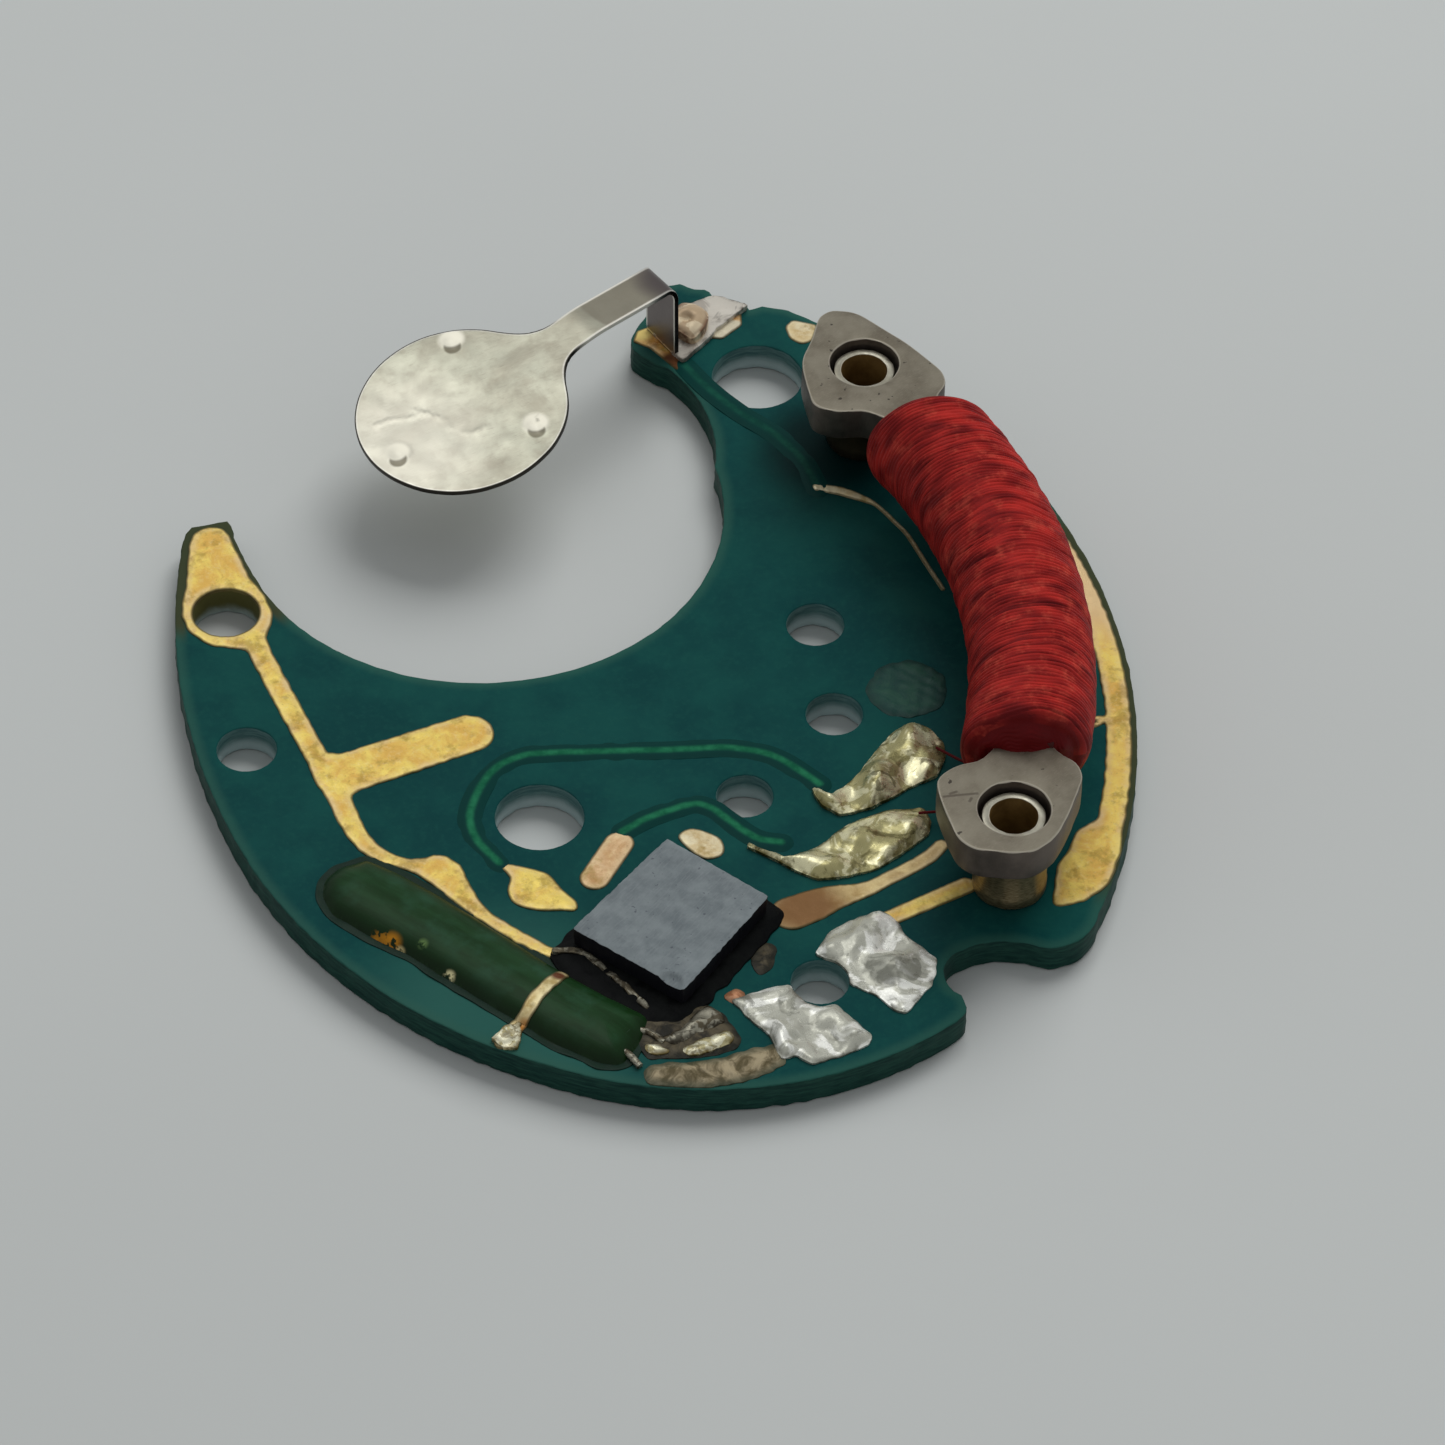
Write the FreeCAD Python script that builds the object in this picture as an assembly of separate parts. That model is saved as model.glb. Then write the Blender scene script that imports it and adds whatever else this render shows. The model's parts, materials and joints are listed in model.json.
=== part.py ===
import FreeCAD, Part
import math
import os

from FreeCAD import Vector

# Electronic module of a quartz watch, in millimetres: a crescent circuit board round the nest of
# a button cell, the stepping motor's curved coil on two screw tubes, a quartz crystal, a bare
# timing chip and a sprung cell contact.
# Frame: origin on the lower tube's axis at the board's underside, +Z up through the component
# side, +Y from the lower tube to the upper tube.

# ---- driving dimensions ----
BOARD_T = 0.64          # laminate thickness
TRACK_T = 0.03          # plated copper thickness
TUBE_PITCH = 12.72      # between the two screw tubes
COIL_R = 11.83          # coil arc's centre to the tubes
RIM_R = 14.0            # rim beside the coil
RIM_CENTRE = (-10.18, 6.58)
NEST_R = 4.95           # cut-out for a 9.5 mm button cell
NEST_CENTRE = (-8.07, 12.21)

TUBE_BORE_R = 0.465
TUBE_NECK_R = 0.625     # through the board and through the plate
TUBE_BODY_R = 0.72      # spacer between board and plate
TUBE_TOP = 2.54
PLATE_BOTTOM = 1.99
PLATE_TOP = 2.75
PLATE_HOLE_R = 0.70

WINDING_R = 1.3
WINDING_ARC_R = 11.65
WINDING_HALF_DEG = 24.1
CORE_WIDTH = 0.8
SLEEVE_WALL = 0.1

CHIP_CENTRE = (-6.74, 0.01)
CHIP_SIZE = (3.2, 2.45)
CHIP_TURN = 41.3        # long side from +X, degrees
CHIP_BOTTOM = 0.72
CHIP_TOP = 1.19

CAN_CENTRE = (-10.39, 0.04)
CAN_LENGTH = 6.9
CAN_WIDTH = 1.6
CAN_HEIGHT = 0.98
CAN_WALL = 0.12
CAN_TURN = -48.3        # closed end to lead end, degrees from +X
SLOT_GAP = 0.03         # between the can and its slot in the board

SPRING_T = 0.1
SPRING_WIDTH = 0.88
ROOT_GAP = 0.03         # between the riser's top and the flexing arm
DISC_R = 2.19
SPRING_ROOT = Vector(-3.51, 16.39, 2.34)
SPRING_BEND = Vector(-5.27, 15.25, 2.56)
DISC_CENTRE = Vector(-8.16, 13.64, 2.07)
ARM_END = 0.5           # straight neck ends this far outside the disc
NECK_HALF = (0.46, 0.85)  # half widths where the neck leaves the arm and where it meets the disc
NECK_BITE = 0.35        # how far the neck runs into the disc
PIPS = [(-8.06, 15.52), (-6.80, 12.70), (-9.71, 12.53)]
PIP_R = (0.3, 0.12)     # foot and top
PIP_HEIGHT = 0.12

HORN_RING_R = 0.95      # plated ring round the horn hole
TRUNK_WIDTH = 0.45
TAIL_WIDTH = 0.34
BRANCH_WIDTH = 1.05
BULB_R = 0.55
COVERED_WIDTH = 0.28
WIRE_R = 0.04
LEAD_R = 0.08
LEAD_HALF_PITCH = 0.3
LEAD_Z = 0.72
STRAP_T = 0.04
LUMP_R = 0.42

# name, x, y, radius of the board's plain through holes
HOLES = {
    "dial_pin": (-1.70, 14.93, 0.93),
    "plate_pin": (-8.56, 3.51, 0.86),
    "horn": (-13.63, 10.21, 0.66),
    "side": (-13.85, 6.42, 0.58),
    "pivot_upper": (-2.12, 7.63, 0.57),
    "pivot_lower": (-2.30, 5.12, 0.56),
    "pivot_chip": (-4.52, 3.28, 0.55),
    "probe": (-4.16, -1.77, 0.55),
}

# ---- values that follow from them ----
MID_Y = TUBE_PITCH / 2
COIL_CENTRE = (-math.sqrt(COIL_R ** 2 - MID_Y ** 2), MID_Y)
TUBES = {"lower_tube": (0.0, 0.0), "upper_tube": (0.0, TUBE_PITCH)}
TUBE_DEG = math.degrees(math.asin(MID_Y / COIL_R))
COIL_Z = (PLATE_BOTTOM + PLATE_TOP) / 2
CORE_T = PLATE_TOP - PLATE_BOTTOM
TRACK_TOP = BOARD_T + TRACK_T
UP = Vector(0, 0, 1)
CUT_LOW = -1.0          # cutters pass right through the module between these heights
CUT_HIGH = 4.0


# ---- outline and solid helpers ----
def polar(centre, radius, degrees):
    angle = math.radians(degrees)
    return (centre[0] + radius * math.cos(angle), centre[1] + radius * math.sin(angle))


def flat(point, z=0.0):
    return Vector(point[0], point[1], z)


def line(*stops):
    """Straight edges through flat points."""
    return Part.makePolygon([flat(p) for p in stops]).Edges


def arc(start, middle, end):
    """One arc edge through three flat points, in a list."""
    return [Part.Arc(flat(start), flat(middle), flat(end)).toShape()]


def rounded_face(points, radius):
    """Flat face on a closed polygon whose corners are rounded to the radius."""
    edges = []
    first = None
    last = None
    count = len(points)
    for i, point in enumerate(points):
        corner = flat(point)
        back = flat(points[i - 1]) - corner
        ahead = flat(points[(i + 1) % count]) - corner
        half = back.getAngle(ahead) / 2
        room = 0.48 * min(back.Length, ahead.Length)
        reach = min(radius / math.tan(half), room)
        back.normalize()
        ahead.normalize()
        start = corner + back * reach
        end = corner + ahead * reach
        bisector = back + ahead
        bisector.normalize()
        arc_r = reach * math.tan(half)
        middle = corner + bisector * (arc_r / math.sin(half) - arc_r)
        if last is not None:
            edges.append(Part.LineSegment(last, start).toShape())
        else:
            first = start
        edges.append(Part.Arc(start, middle, end).toShape())
        last = end
    edges.append(Part.LineSegment(last, first).toShape())
    return Part.Face(Part.Wire(edges))


def spline_face(points):
    """Flat face inside a smooth closed curve through the points."""
    curve = Part.BSplineCurve()
    curve.interpolate([flat(p) for p in points], PeriodicFlag=True)
    return Part.Face(Part.Wire([curve.toShape()]))


def slab(face, bottom, top):
    """The face raised to the bottom height and extruded to the top."""
    lifted = face.translated(UP * bottom)
    return lifted.extrude(UP * (top - bottom))


def disc(centre, radius, bottom, top):
    return Part.makeCylinder(radius, top - bottom, flat(centre, bottom), UP)


def cutter(centre, radius):
    return disc(centre, radius, CUT_LOW, CUT_HIGH)


def stroke(points, width, bottom=BOARD_T, top=TRACK_TOP):
    """A round-ended strip of constant width along a line of points."""
    half = width / 2
    strip = disc(points[0], half, bottom, top)
    for start, end in zip(points, points[1:]):
        length = math.dist(start, end)
        bar = Part.makeBox(length, width, top - bottom, Vector(0, -half, bottom))
        turn = math.degrees(math.atan2(end[1] - start[1], end[0] - start[0]))
        bar.rotate(Vector(), UP, turn)
        bar.translate(flat(start))
        strip = strip.fuse([bar, disc(end, half, bottom, top)])
    return strip.removeSplitter()


def ring_part(face, centre, start_deg, end_deg):
    """A face on the XZ half-plane, x being the radius, swept about a centre."""
    solid = face.revolve(Vector(), UP, end_deg - start_deg)
    solid.rotate(Vector(), UP, start_deg)
    solid.translate(flat(centre))
    return solid


def section(radius, z, width, height):
    """Upright rectangle for ring_part, centred on a radius and a height."""
    corners = [
        Vector(radius - width / 2, 0, z - height / 2),
        Vector(radius + width / 2, 0, z - height / 2),
        Vector(radius + width / 2, 0, z + height / 2),
        Vector(radius - width / 2, 0, z + height / 2),
    ]
    return Part.Face(Part.makePolygon(corners + corners[:1]))


def placed(shape, centre, turn):
    """A shape drawn about the origin, turned in plan and moved to its place."""
    shape.rotate(Vector(), UP, turn)
    shape.translate(flat(centre))
    return shape


# ---- board ----
def board_face():
    """The crescent outline, anticlockwise from the coil end of the rim."""
    rim_low = polar(RIM_CENTRE, RIM_R, -33.5)
    rim_high = polar(RIM_CENTRE, RIM_R, 47.0)
    rim_mid = polar(RIM_CENTRE, RIM_R, 0.0)
    nest_left = (-12.99, 12.76)
    nest_right = (-3.14, 12.48)
    nest_low = (NEST_CENTRE[0], NEST_CENTRE[1] - NEST_R)
    horn_side = (-3.49, 15.54)
    horn_top = (-2.81, 18.08)
    lobe = (-1.81, -3.27)
    notch_low = (-1.56, -2.64)
    notch_high = (-1.46, -1.58)
    notch_right = (0.24, -1.78)
    foot_left = (-9.55, -2.91)
    side_low = (-14.27, 3.19)
    horn_left = (-14.18, 12.58)

    edges = arc(rim_low, rim_mid, rim_high)
    edges += line(rim_high, (-1.15, 17.08), (-1.42, 16.92), (-1.48, 17.18), (-2.16, 17.58), horn_top)
    edges += line(horn_top, (-3.46, 17.38), (-4.02, 16.63), (-4.10, 16.28), horn_side)
    edges += arc(horn_side, (-2.97, 13.98), nest_right)
    edges += arc(nest_right, nest_low, nest_left)
    edges += line(nest_left, (-13.16, 12.86), (-13.98, 12.72), horn_left)
    edges += arc(horn_left, (-14.88, 7.68), side_low)
    edges += arc(side_low, (-12.21, -0.62), foot_left)
    edges += arc(foot_left, (-5.61, -4.17), lobe)
    edges += line(lobe, (-1.54, -3.02), notch_low)
    edges += arc(notch_low, (-1.78, -2.07), notch_high)
    edges += arc(notch_high, (-0.69, -1.42), notch_right)
    edges += arc(notch_right, (1.02, -1.68), rim_low)
    return Part.Face(Part.Wire(edges))


def can_outline(margin):
    """Plan of the crystal can: domed closed end at -x, square end at +x."""
    half_l = CAN_LENGTH / 2 + margin
    half_w = CAN_WIDTH / 2 + margin
    shoulder = half_l - half_w
    corner = 0.2
    back = half_l - corner
    side = half_w - corner
    edges = arc((-shoulder, half_w), (-half_l, 0), (-shoulder, -half_w))
    edges += line((-shoulder, -half_w), (back, -half_w), (half_l, -side),
                  (half_l, side), (back, half_w), (-shoulder, half_w))
    return Part.Face(Part.Wire(edges))


def circuit_board():
    board = slab(board_face(), 0, BOARD_T)
    cuts = [cutter((x, y), r) for x, y, r in HOLES.values()]
    cuts += [cutter(place, TUBE_NECK_R) for place in TUBES.values()]
    cuts.append(placed(slab(can_outline(SLOT_GAP), CUT_LOW, CUT_HIGH), CAN_CENTRE, CAN_TURN))
    return board.cut(cuts)


# ---- plated tracks on the board's top ----
def cell_contact_track():
    """Pad on the left horn, its trunk to the chip, and the branch pad on the trunk."""
    x, y, r = HOLES["horn"]
    pad = rounded_face(
        [(-14.01, 12.50), (-13.20, 12.68), (-13.16, 11.48), (-12.84, 10.48),
         (-13.26, 9.38), (-14.16, 9.48), (-14.48, 10.48), (-14.33, 11.48)], 0.15)
    trunk = [(-13.16, 9.38), (-12.82, 7.26), (-12.33, 4.88), (-12.14, 3.78), (-11.56, 3.08),
             (-10.81, 2.63)]
    tail = [(-10.81, 2.43), (-10.05, 1.47), (-8.94, 0.13), (-8.61, -0.12)]
    track = slab(pad, BOARD_T, TRACK_TOP).fuse([
        disc((x, y), HORN_RING_R, BOARD_T, TRACK_TOP),
        stroke(trunk, TRUNK_WIDTH),
        disc((-10.76, 2.46), TRUNK_WIDTH, BOARD_T, TRACK_TOP),
        stroke(tail, TAIL_WIDTH),
        stroke([(-12.06, 5.38), (-9.51, 5.96)], BRANCH_WIDTH),
    ])
    return track.cut(cutter((x, y), r)).removeSplitter()


def oscillator_track():
    """Round pad with a neck and a tail, beside the chip."""
    middle = (-8.98, 1.68)
    bulb = disc(middle, BULB_R, BOARD_T, TRACK_TOP)
    neck = stroke([middle, (-9.52, 2.42)], TAIL_WIDTH)
    tail = stroke([middle, (-8.26, 1.03)], TRUNK_WIDTH)
    return bulb.fuse([neck, tail]).removeSplitter()


def chip_side_track():
    """Wide at the chip's right corner, narrowing to a wire-width tail."""
    head = rounded_face([(-4.61, 0.53), (-4.16, 0.72), (-2.86, 0.56), (-2.76, 0.33),
                         (-3.76, -0.37), (-4.31, -0.27)], 0.08)
    tail = stroke([(-2.96, 0.44), (-1.66, 0.70), (-1.03, 1.33)], 0.25)
    return slab(head, BOARD_T, TRACK_TOP).fuse(tail).removeSplitter()


def rim_track():
    """Long track beside the rim, ending in a pad under the lower coil plate."""
    middle_r = RIM_R - 0.35
    middle_z = (BOARD_T + TRACK_TOP) / 2
    band = ring_part(section(middle_r, middle_z, TRUNK_WIDTH, TRACK_T), RIM_CENTRE, -25.5, 17.0)
    pad = rounded_face([(2.04, 1.08), (2.26, 0.38), (1.50, -0.74), (0.74, -0.84),
                        (1.09, 0.28), (1.64, 0.98)], 0.05)
    return band.fuse(slab(pad, BOARD_T, TRACK_TOP)).removeSplitter()


def covered_traces():
    """Narrow traces that run under the board's green lacquer."""
    routes = [
        [(-9.76, 2.98), (-9.89, 3.58), (-9.71, 4.38), (-9.06, 4.98), (-8.26, 5.16), (-4.21, 4.46),
         (-3.59, 4.05), (-3.28, 3.43)],
        [(-6.66, 3.03), (-5.76, 3.18)],
        [(-3.01, 15.28), (-2.78, 14.48)],
        [(-1.56, 12.98), (-1.21, 11.58)],
    ]
    return Part.makeCompound([stroke(route, COVERED_WIDTH) for route in routes])


def plain_pads():
    """Pads and short tracks that are one strip or one outline each."""
    spring_pad = [(-3.96, 16.38), (-3.48, 15.68), (-3.06, 15.50), (-1.48, 16.88),
                  (-2.21, 17.46), (-3.36, 17.38), (-3.91, 16.58)]
    upper_pad = [(-0.86, 15.83), (-0.36, 15.76), (-0.16, 16.18), (-0.71, 16.53)]
    return {
        "capsule_track": stroke([(-7.24, 2.44), (-7.81, 1.76)], 0.6),
        "chip_corner_pad": disc((-5.66, 2.20), 0.38, BOARD_T, TRACK_TOP),
        "stub_track": stroke([(-2.47, -0.37), (-1.0, 0.0)], 0.33),
        "coil_bed_track": stroke([(-1.18, 11.19), (-0.32, 10.91), (0.17, 9.95), (0.63, 8.20)], 0.2),
        "spring_pad": slab(rounded_face(spring_pad, 0.1), BOARD_T, TRACK_TOP),
        "upper_pad": slab(rounded_face(upper_pad, 0.1), BOARD_T, TRACK_TOP),
        "strap_pad": stroke([(-10.41, -1.97), (-10.61, -2.12)], 0.35),
    }


# ---- coil ----
def plate_face(centre, side):
    """Rounded wedge outline of a core end; side is +1 for the lower end, -1 for the upper.

    Points are radial and tangential distances from the tube, the tangent towards the coil.
    """
    coil_side = [(-1.68, 0.20), (-1.40, 0.72), (-0.92, 0.90), (-0.72, 1.13), (-0.30, 1.42), (0.30, 1.60),
                 (0.72, 1.62), (0.98, 1.30)]
    if side > 0:
        far_side = [(1.03, 0.20), (0.98, -0.45), (0.72, -0.95), (0.29, -1.14), (-0.41, -1.30),
                    (-0.80, -1.10), (-1.40, -0.30)]
    else:
        far_side = [(1.06, 0.20), (0.97, -1.20), (0.62, -1.60), (0.30, -1.62), (-0.30, -1.22),
                    (-0.89, -0.95), (-1.30, -0.40)]
    base = math.radians(-side * TUBE_DEG)
    outward = (math.cos(base), math.sin(base))
    along = (-side * math.sin(base), side * math.cos(base))
    points = []
    for radial, tangent in coil_side + far_side:
        x = centre[0] + radial * outward[0] + tangent * along[0]
        y = centre[1] + radial * outward[1] + tangent * along[1]
        points.append((x, y))
    return rounded_face(points, 0.25)


def core_section():
    return section(WINDING_ARC_R, COIL_Z, CORE_WIDTH, CORE_T)


def coil_core():
    """Flat curved bar of soft magnetic alloy with a drilled plate at each end."""
    bar_deg = TUBE_DEG - 2
    bar = ring_part(core_section(), COIL_CENTRE, -bar_deg, bar_deg)
    plates = [slab(plate_face(TUBES["lower_tube"], 1), PLATE_BOTTOM, PLATE_TOP),
              slab(plate_face(TUBES["upper_tube"], -1), PLATE_BOTTOM, PLATE_TOP)]
    holes = [cutter(place, PLATE_HOLE_R) for place in TUBES.values()]
    return bar.fuse(plates).cut(holes).removeSplitter()


def sleeve_section():
    """Rectangle just outside the core bar, the outside of the insulating sleeve."""
    return section(WINDING_ARC_R, COIL_Z, CORE_WIDTH + 2 * SLEEVE_WALL, CORE_T + 2 * SLEEVE_WALL)


def core_sleeve():
    outer = ring_part(sleeve_section(), COIL_CENTRE, -WINDING_HALF_DEG, WINDING_HALF_DEG)
    inner = ring_part(core_section(), COIL_CENTRE, -TUBE_DEG, TUBE_DEG)
    return outer.cut(inner)


def coil_winding():
    """Enamelled wire wound on the sleeve, as one round-sectioned curved body."""
    circle = Part.Circle(Vector(WINDING_ARC_R, 0, COIL_Z), Vector(0, 1, 0), WINDING_R)
    round_face = Part.Face(Part.Wire([circle.toShape()]))
    body = ring_part(round_face, COIL_CENTRE, -WINDING_HALF_DEG, WINDING_HALF_DEG)
    inner = ring_part(sleeve_section(), COIL_CENTRE, -TUBE_DEG, TUBE_DEG)
    return body.cut([inner, coil_core()])


def screw_tube(centre):
    """Turned spacer tube through the board, stepped to locate the core plate."""
    neck = disc(centre, TUBE_NECK_R, 0, TUBE_TOP)
    body = disc(centre, TUBE_BODY_R, BOARD_T, PLATE_BOTTOM)
    return neck.fuse(body).removeSplitter().cut(cutter(centre, TUBE_BORE_R))


def wire(start, end):
    return Part.makeCylinder(WIRE_R, (end - start).Length, start, end - start)


def coil_wire_ends():
    """The two ends of the winding wire, dropping from the coil to their solder pads."""
    outer = wire(Vector(0.19, 2.33, 1.15), Vector(-0.72, 3.98, 0.92))
    inner = wire(Vector(-0.21, 1.83, 1.30), Vector(-1.31, 2.13, 0.90))
    return Part.makeCompound([outer, inner])


# ---- chip ----
def chip_block(grow, bottom, top):
    length = CHIP_SIZE[0] + 2 * grow
    width = CHIP_SIZE[1] + 2 * grow
    block = Part.makeBox(length, width, top - bottom, Vector(-length / 2, -width / 2, bottom))
    return placed(block, CHIP_CENTRE, CHIP_TURN)


# ---- quartz crystal ----
def can_body(shrink, extra_length=0.0):
    """Oval bar cut to the can's plan; shrink takes the wall thickness off all round."""
    spare = 1.0
    start = -CAN_LENGTH / 2 - spare
    ellipse = Part.Ellipse(Vector(), CAN_WIDTH / 2 - shrink, CAN_HEIGHT / 2 - shrink)
    oval = Part.Face(Part.Wire([ellipse.toShape()]))
    oval.rotate(Vector(), Vector(1, 0, 0), 90)
    oval.rotate(Vector(), UP, 90)
    oval.translate(Vector(start, 0, CAN_HEIGHT / 2))
    bar = oval.extrude(Vector(CAN_LENGTH + 2 * spare, 0, 0))
    plan = slab(can_outline(-shrink), CUT_LOW, CUT_HIGH)
    plan.translate(Vector(extra_length, 0, 0))
    return bar.common(plan)


def crystal_can():
    open_end = can_body(CAN_WALL, 2 * CAN_WALL)
    shell = can_body(0.0).cut([can_body(CAN_WALL), open_end])
    return placed(shell, CAN_CENTRE, CAN_TURN)


def lead_bars():
    """The crystal's two straight leads, drawn along +x from inside the can."""
    inside = 1.6
    outside = 1.0
    start = CAN_LENGTH / 2 - inside
    along = Vector(1, 0, 0)
    return [Part.makeCylinder(LEAD_R, inside + outside, Vector(start, side, LEAD_Z), along)
            for side in (-LEAD_HALF_PITCH, LEAD_HALF_PITCH)]


def crystal_base():
    """Glass plug that closes the can's square end round the leads."""
    length = 0.6
    keep = Part.makeBox(length, 4, 4, Vector(CAN_LENGTH / 2 - length, -2, -1))
    inside = can_body(CAN_WALL).fuse(can_body(CAN_WALL, CAN_WALL))
    plug = inside.common(keep).cut(lead_bars())
    return placed(plug, CAN_CENTRE, CAN_TURN)


def crystal_leads():
    return placed(Part.makeCompound(lead_bars()), CAN_CENTRE, CAN_TURN)


def tuning_fork():
    """Quartz fork inside the can, bonded under the leads' inner ends."""
    length = 4.8
    width = 1.0
    thickness = 0.2
    tine_length = 3.3
    gap_width = 0.2
    left = CAN_LENGTH / 2 - 0.9 - length
    blank = Part.makeBox(length, width, thickness, Vector(left, -width / 2, LEAD_Z - LEAD_R - thickness))
    gap = Part.makeBox(tine_length, gap_width, CAN_HEIGHT, Vector(left, -gap_width / 2, 0))
    return placed(blank.cut(gap), CAN_CENTRE, CAN_TURN)


def can_strap():
    """Plated earth strip laid over the can's crown down to its pad."""
    width = 0.35
    far_edge = 0.66
    near_edge = -1.2
    bottom = BOARD_T + STRAP_T / 2
    shell = can_body(-STRAP_T).cut(can_body(0.0))
    keep = Part.makeBox(width, far_edge - near_edge, CAN_HEIGHT, Vector(1.36, near_edge, bottom))
    return placed(shell.common(keep), CAN_CENTRE, CAN_TURN)


# ---- solder ----
def solder_outlines():
    return {
        "coil_solder_outer": ([(-3.01, 3.03), (-2.26, 3.48), (-1.74, 4.03), (-0.86, 4.63), (-0.52, 3.94),
                               (-0.81, 3.18), (-1.85, 2.72), (-2.61, 2.58)], 0.3),
        "coil_solder_inner": ([(-4.06, 1.68), (-3.16, 1.98), (-2.18, 2.18), (-1.24, 2.38), (-1.28, 1.75),
                               (-2.07, 1.33), (-3.16, 0.98), (-3.81, 1.28)], 0.28),
        "probe_solder": ([(-3.91, -1.02), (-3.18, -0.37), (-2.55, -0.28), (-2.26, -0.98), (-1.83, -1.55),
                          (-2.12, -2.36), (-2.84, -2.67), (-3.46, -1.97), (-3.54, -1.42)], 0.25),
        "supply_solder": ([(-5.96, -1.87), (-4.84, -1.77), (-4.58, -2.42), (-3.52, -3.22), (-3.61, -3.47),
                           (-4.72, -3.74), (-5.36, -3.52), (-5.46, -2.87)], 0.28),
    }


def strap_solder():
    outline = [(-10.06, -1.67), (-10.31, -2.27), (-10.81, -2.12), (-10.46, -1.67)]
    return slab(rounded_face(outline, 0.1), BOARD_T, 0.8)


def crystal_solder():
    """Two joints where the crystal's leads meet the board."""
    upper = [(-7.46, -2.27), (-6.36, -2.02), (-6.31, -2.37), (-7.26, -2.67)]
    lower = [(-7.86, -2.92), (-6.46, -2.67), (-6.36, -3.17), (-7.76, -3.42)]
    joints = [slab(rounded_face(outline, 0.12), BOARD_T, 0.86) for outline in (upper, lower)]
    return Part.makeCompound(joints)


# ---- sprung cell contact ----
def sheet(corners, thickness):
    """Flat sheet metal under a polygon of 3-D corners, its top face on the corners."""
    face = Part.Face(Part.makePolygon(corners + corners[:1]))
    normal = face.normalAt(0, 0)
    if normal.z > 0:
        normal = normal * -1
    return face.extrude(normal * thickness)


def contact_foot():
    """Foot strip soldered to the horn and the riser that lifts the arm off the board."""
    top = TRACK_TOP + SPRING_T
    foot = rounded_face([(-1.58, 16.96), (-3.06, 15.68), (-3.58, 16.70), (-2.31, 17.48)], 0.05)
    near = Vector(-3.16, 15.64, top)
    far = Vector(-3.56, 16.68, top)
    lift = Vector(-0.12, 0.12, SPRING_ROOT.z - SPRING_T - ROOT_GAP - top)
    face = Part.Face(Part.makePolygon([near, far, far + lift, near + lift, near]))
    riser = face.extrude(Vector(SPRING_T, SPRING_T * 0.4, 0))
    return slab(foot, TRACK_TOP, top).fuse(riser).removeSplitter()


def disc_frame():
    """Unit vectors of the disc's plane: away from the bend, across it, and its normal."""
    ahead = DISC_CENTRE - SPRING_BEND
    ahead.normalize()
    across = UP.cross(ahead)
    across.normalize()
    normal = ahead.cross(across)
    return ahead, across, normal


def contact_spring():
    """The flexing arm, its neck and the round cell contact with three raised pips."""
    ahead, across, normal = disc_frame()
    side = across * (SPRING_WIDTH / 2)
    root = [SPRING_ROOT + side, SPRING_ROOT - side]
    bend = [SPRING_BEND + side, SPRING_BEND - side]
    arm = sheet([root[0], root[1], bend[1], bend[0]], SPRING_T)
    outer = DISC_CENTRE - ahead * (DISC_R + ARM_END)
    inner = DISC_CENTRE - ahead * (DISC_R - NECK_BITE)
    narrow = across * NECK_HALF[0]
    wide = across * NECK_HALF[1]
    neck = sheet([bend[0], outer + narrow, inner + wide, inner - wide, outer - narrow, bend[1]], SPRING_T)
    plate = Part.makeCylinder(DISC_R, SPRING_T, DISC_CENTRE - normal * SPRING_T, normal)
    spring = arm.fuse([neck, plate])
    for pip in PIPS:
        offset = flat(pip, DISC_CENTRE.z) - DISC_CENTRE
        seat = DISC_CENTRE + ahead * offset.dot(ahead) + across * offset.dot(across)
        overlap = normal * (SPRING_T / 5)
        spring = spring.fuse(Part.makeCone(PIP_R[0], PIP_R[1], PIP_HEIGHT, seat - overlap, normal))
    return spring.removeSplitter()


def contact_lump():
    """Solder lump that holds the foot to the horn."""
    seat = (-2.64, 16.63)
    ball = Part.makeSphere(LUMP_R, flat(seat, BOARD_T + 0.08))
    return ball.common(disc(seat, 2 * LUMP_R, TRACK_TOP + SPRING_T, CUT_HIGH))


# ---- the module ----
def build():
    parts = {"circuit_board": circuit_board()}
    tracks = {
        "cell_contact_track": cell_contact_track(),
        "oscillator_track": oscillator_track(),
        "chip_side_track": chip_side_track(),
        "rim_track": rim_track(),
        "covered_traces": covered_traces(),
    }
    tracks.update(plain_pads())
    parts.update(tracks)
    on_board = list(tracks.values())

    parts["chip"] = chip_block(0, CHIP_BOTTOM, CHIP_TOP)
    parts["chip_resin"] = chip_block(0.22, BOARD_T, CHIP_BOTTOM).cut(on_board)

    parts["crystal_can"] = crystal_can()
    parts["crystal_base"] = crystal_base()
    parts["crystal_leads"] = crystal_leads()
    parts["tuning_fork"] = tuning_fork()
    parts["can_strap"] = can_strap()

    parts["coil_core"] = coil_core()
    parts["core_sleeve"] = core_sleeve()
    parts["coil_winding"] = coil_winding()
    for name, place in TUBES.items():
        parts[name] = screw_tube(place)

    for name, (outline, height) in solder_outlines().items():
        parts[name] = slab(spline_face(outline), BOARD_T, BOARD_T + height).cut(on_board)
    can = parts["crystal_can"]
    parts["strap_solder"] = strap_solder().cut(on_board + [parts["can_strap"], can])
    parts["crystal_solder"] = crystal_solder().cut(on_board + [parts["crystal_leads"], can])
    joined = [parts["coil_solder_outer"], parts["coil_solder_inner"], parts["coil_winding"]]
    parts["coil_wire_ends"] = coil_wire_ends().cut(joined)

    parts["contact_foot"] = contact_foot()
    parts["contact_lump"] = contact_lump()
    parts["contact_spring"] = contact_spring()
    return parts


os.makedirs("parts", exist_ok=True)
for node, shape in build().items():
    shape.exportStep(f"parts/{node}.step")
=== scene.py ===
import json
from math import asin, atan2, cos, pi, radians, sin, sqrt

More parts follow.
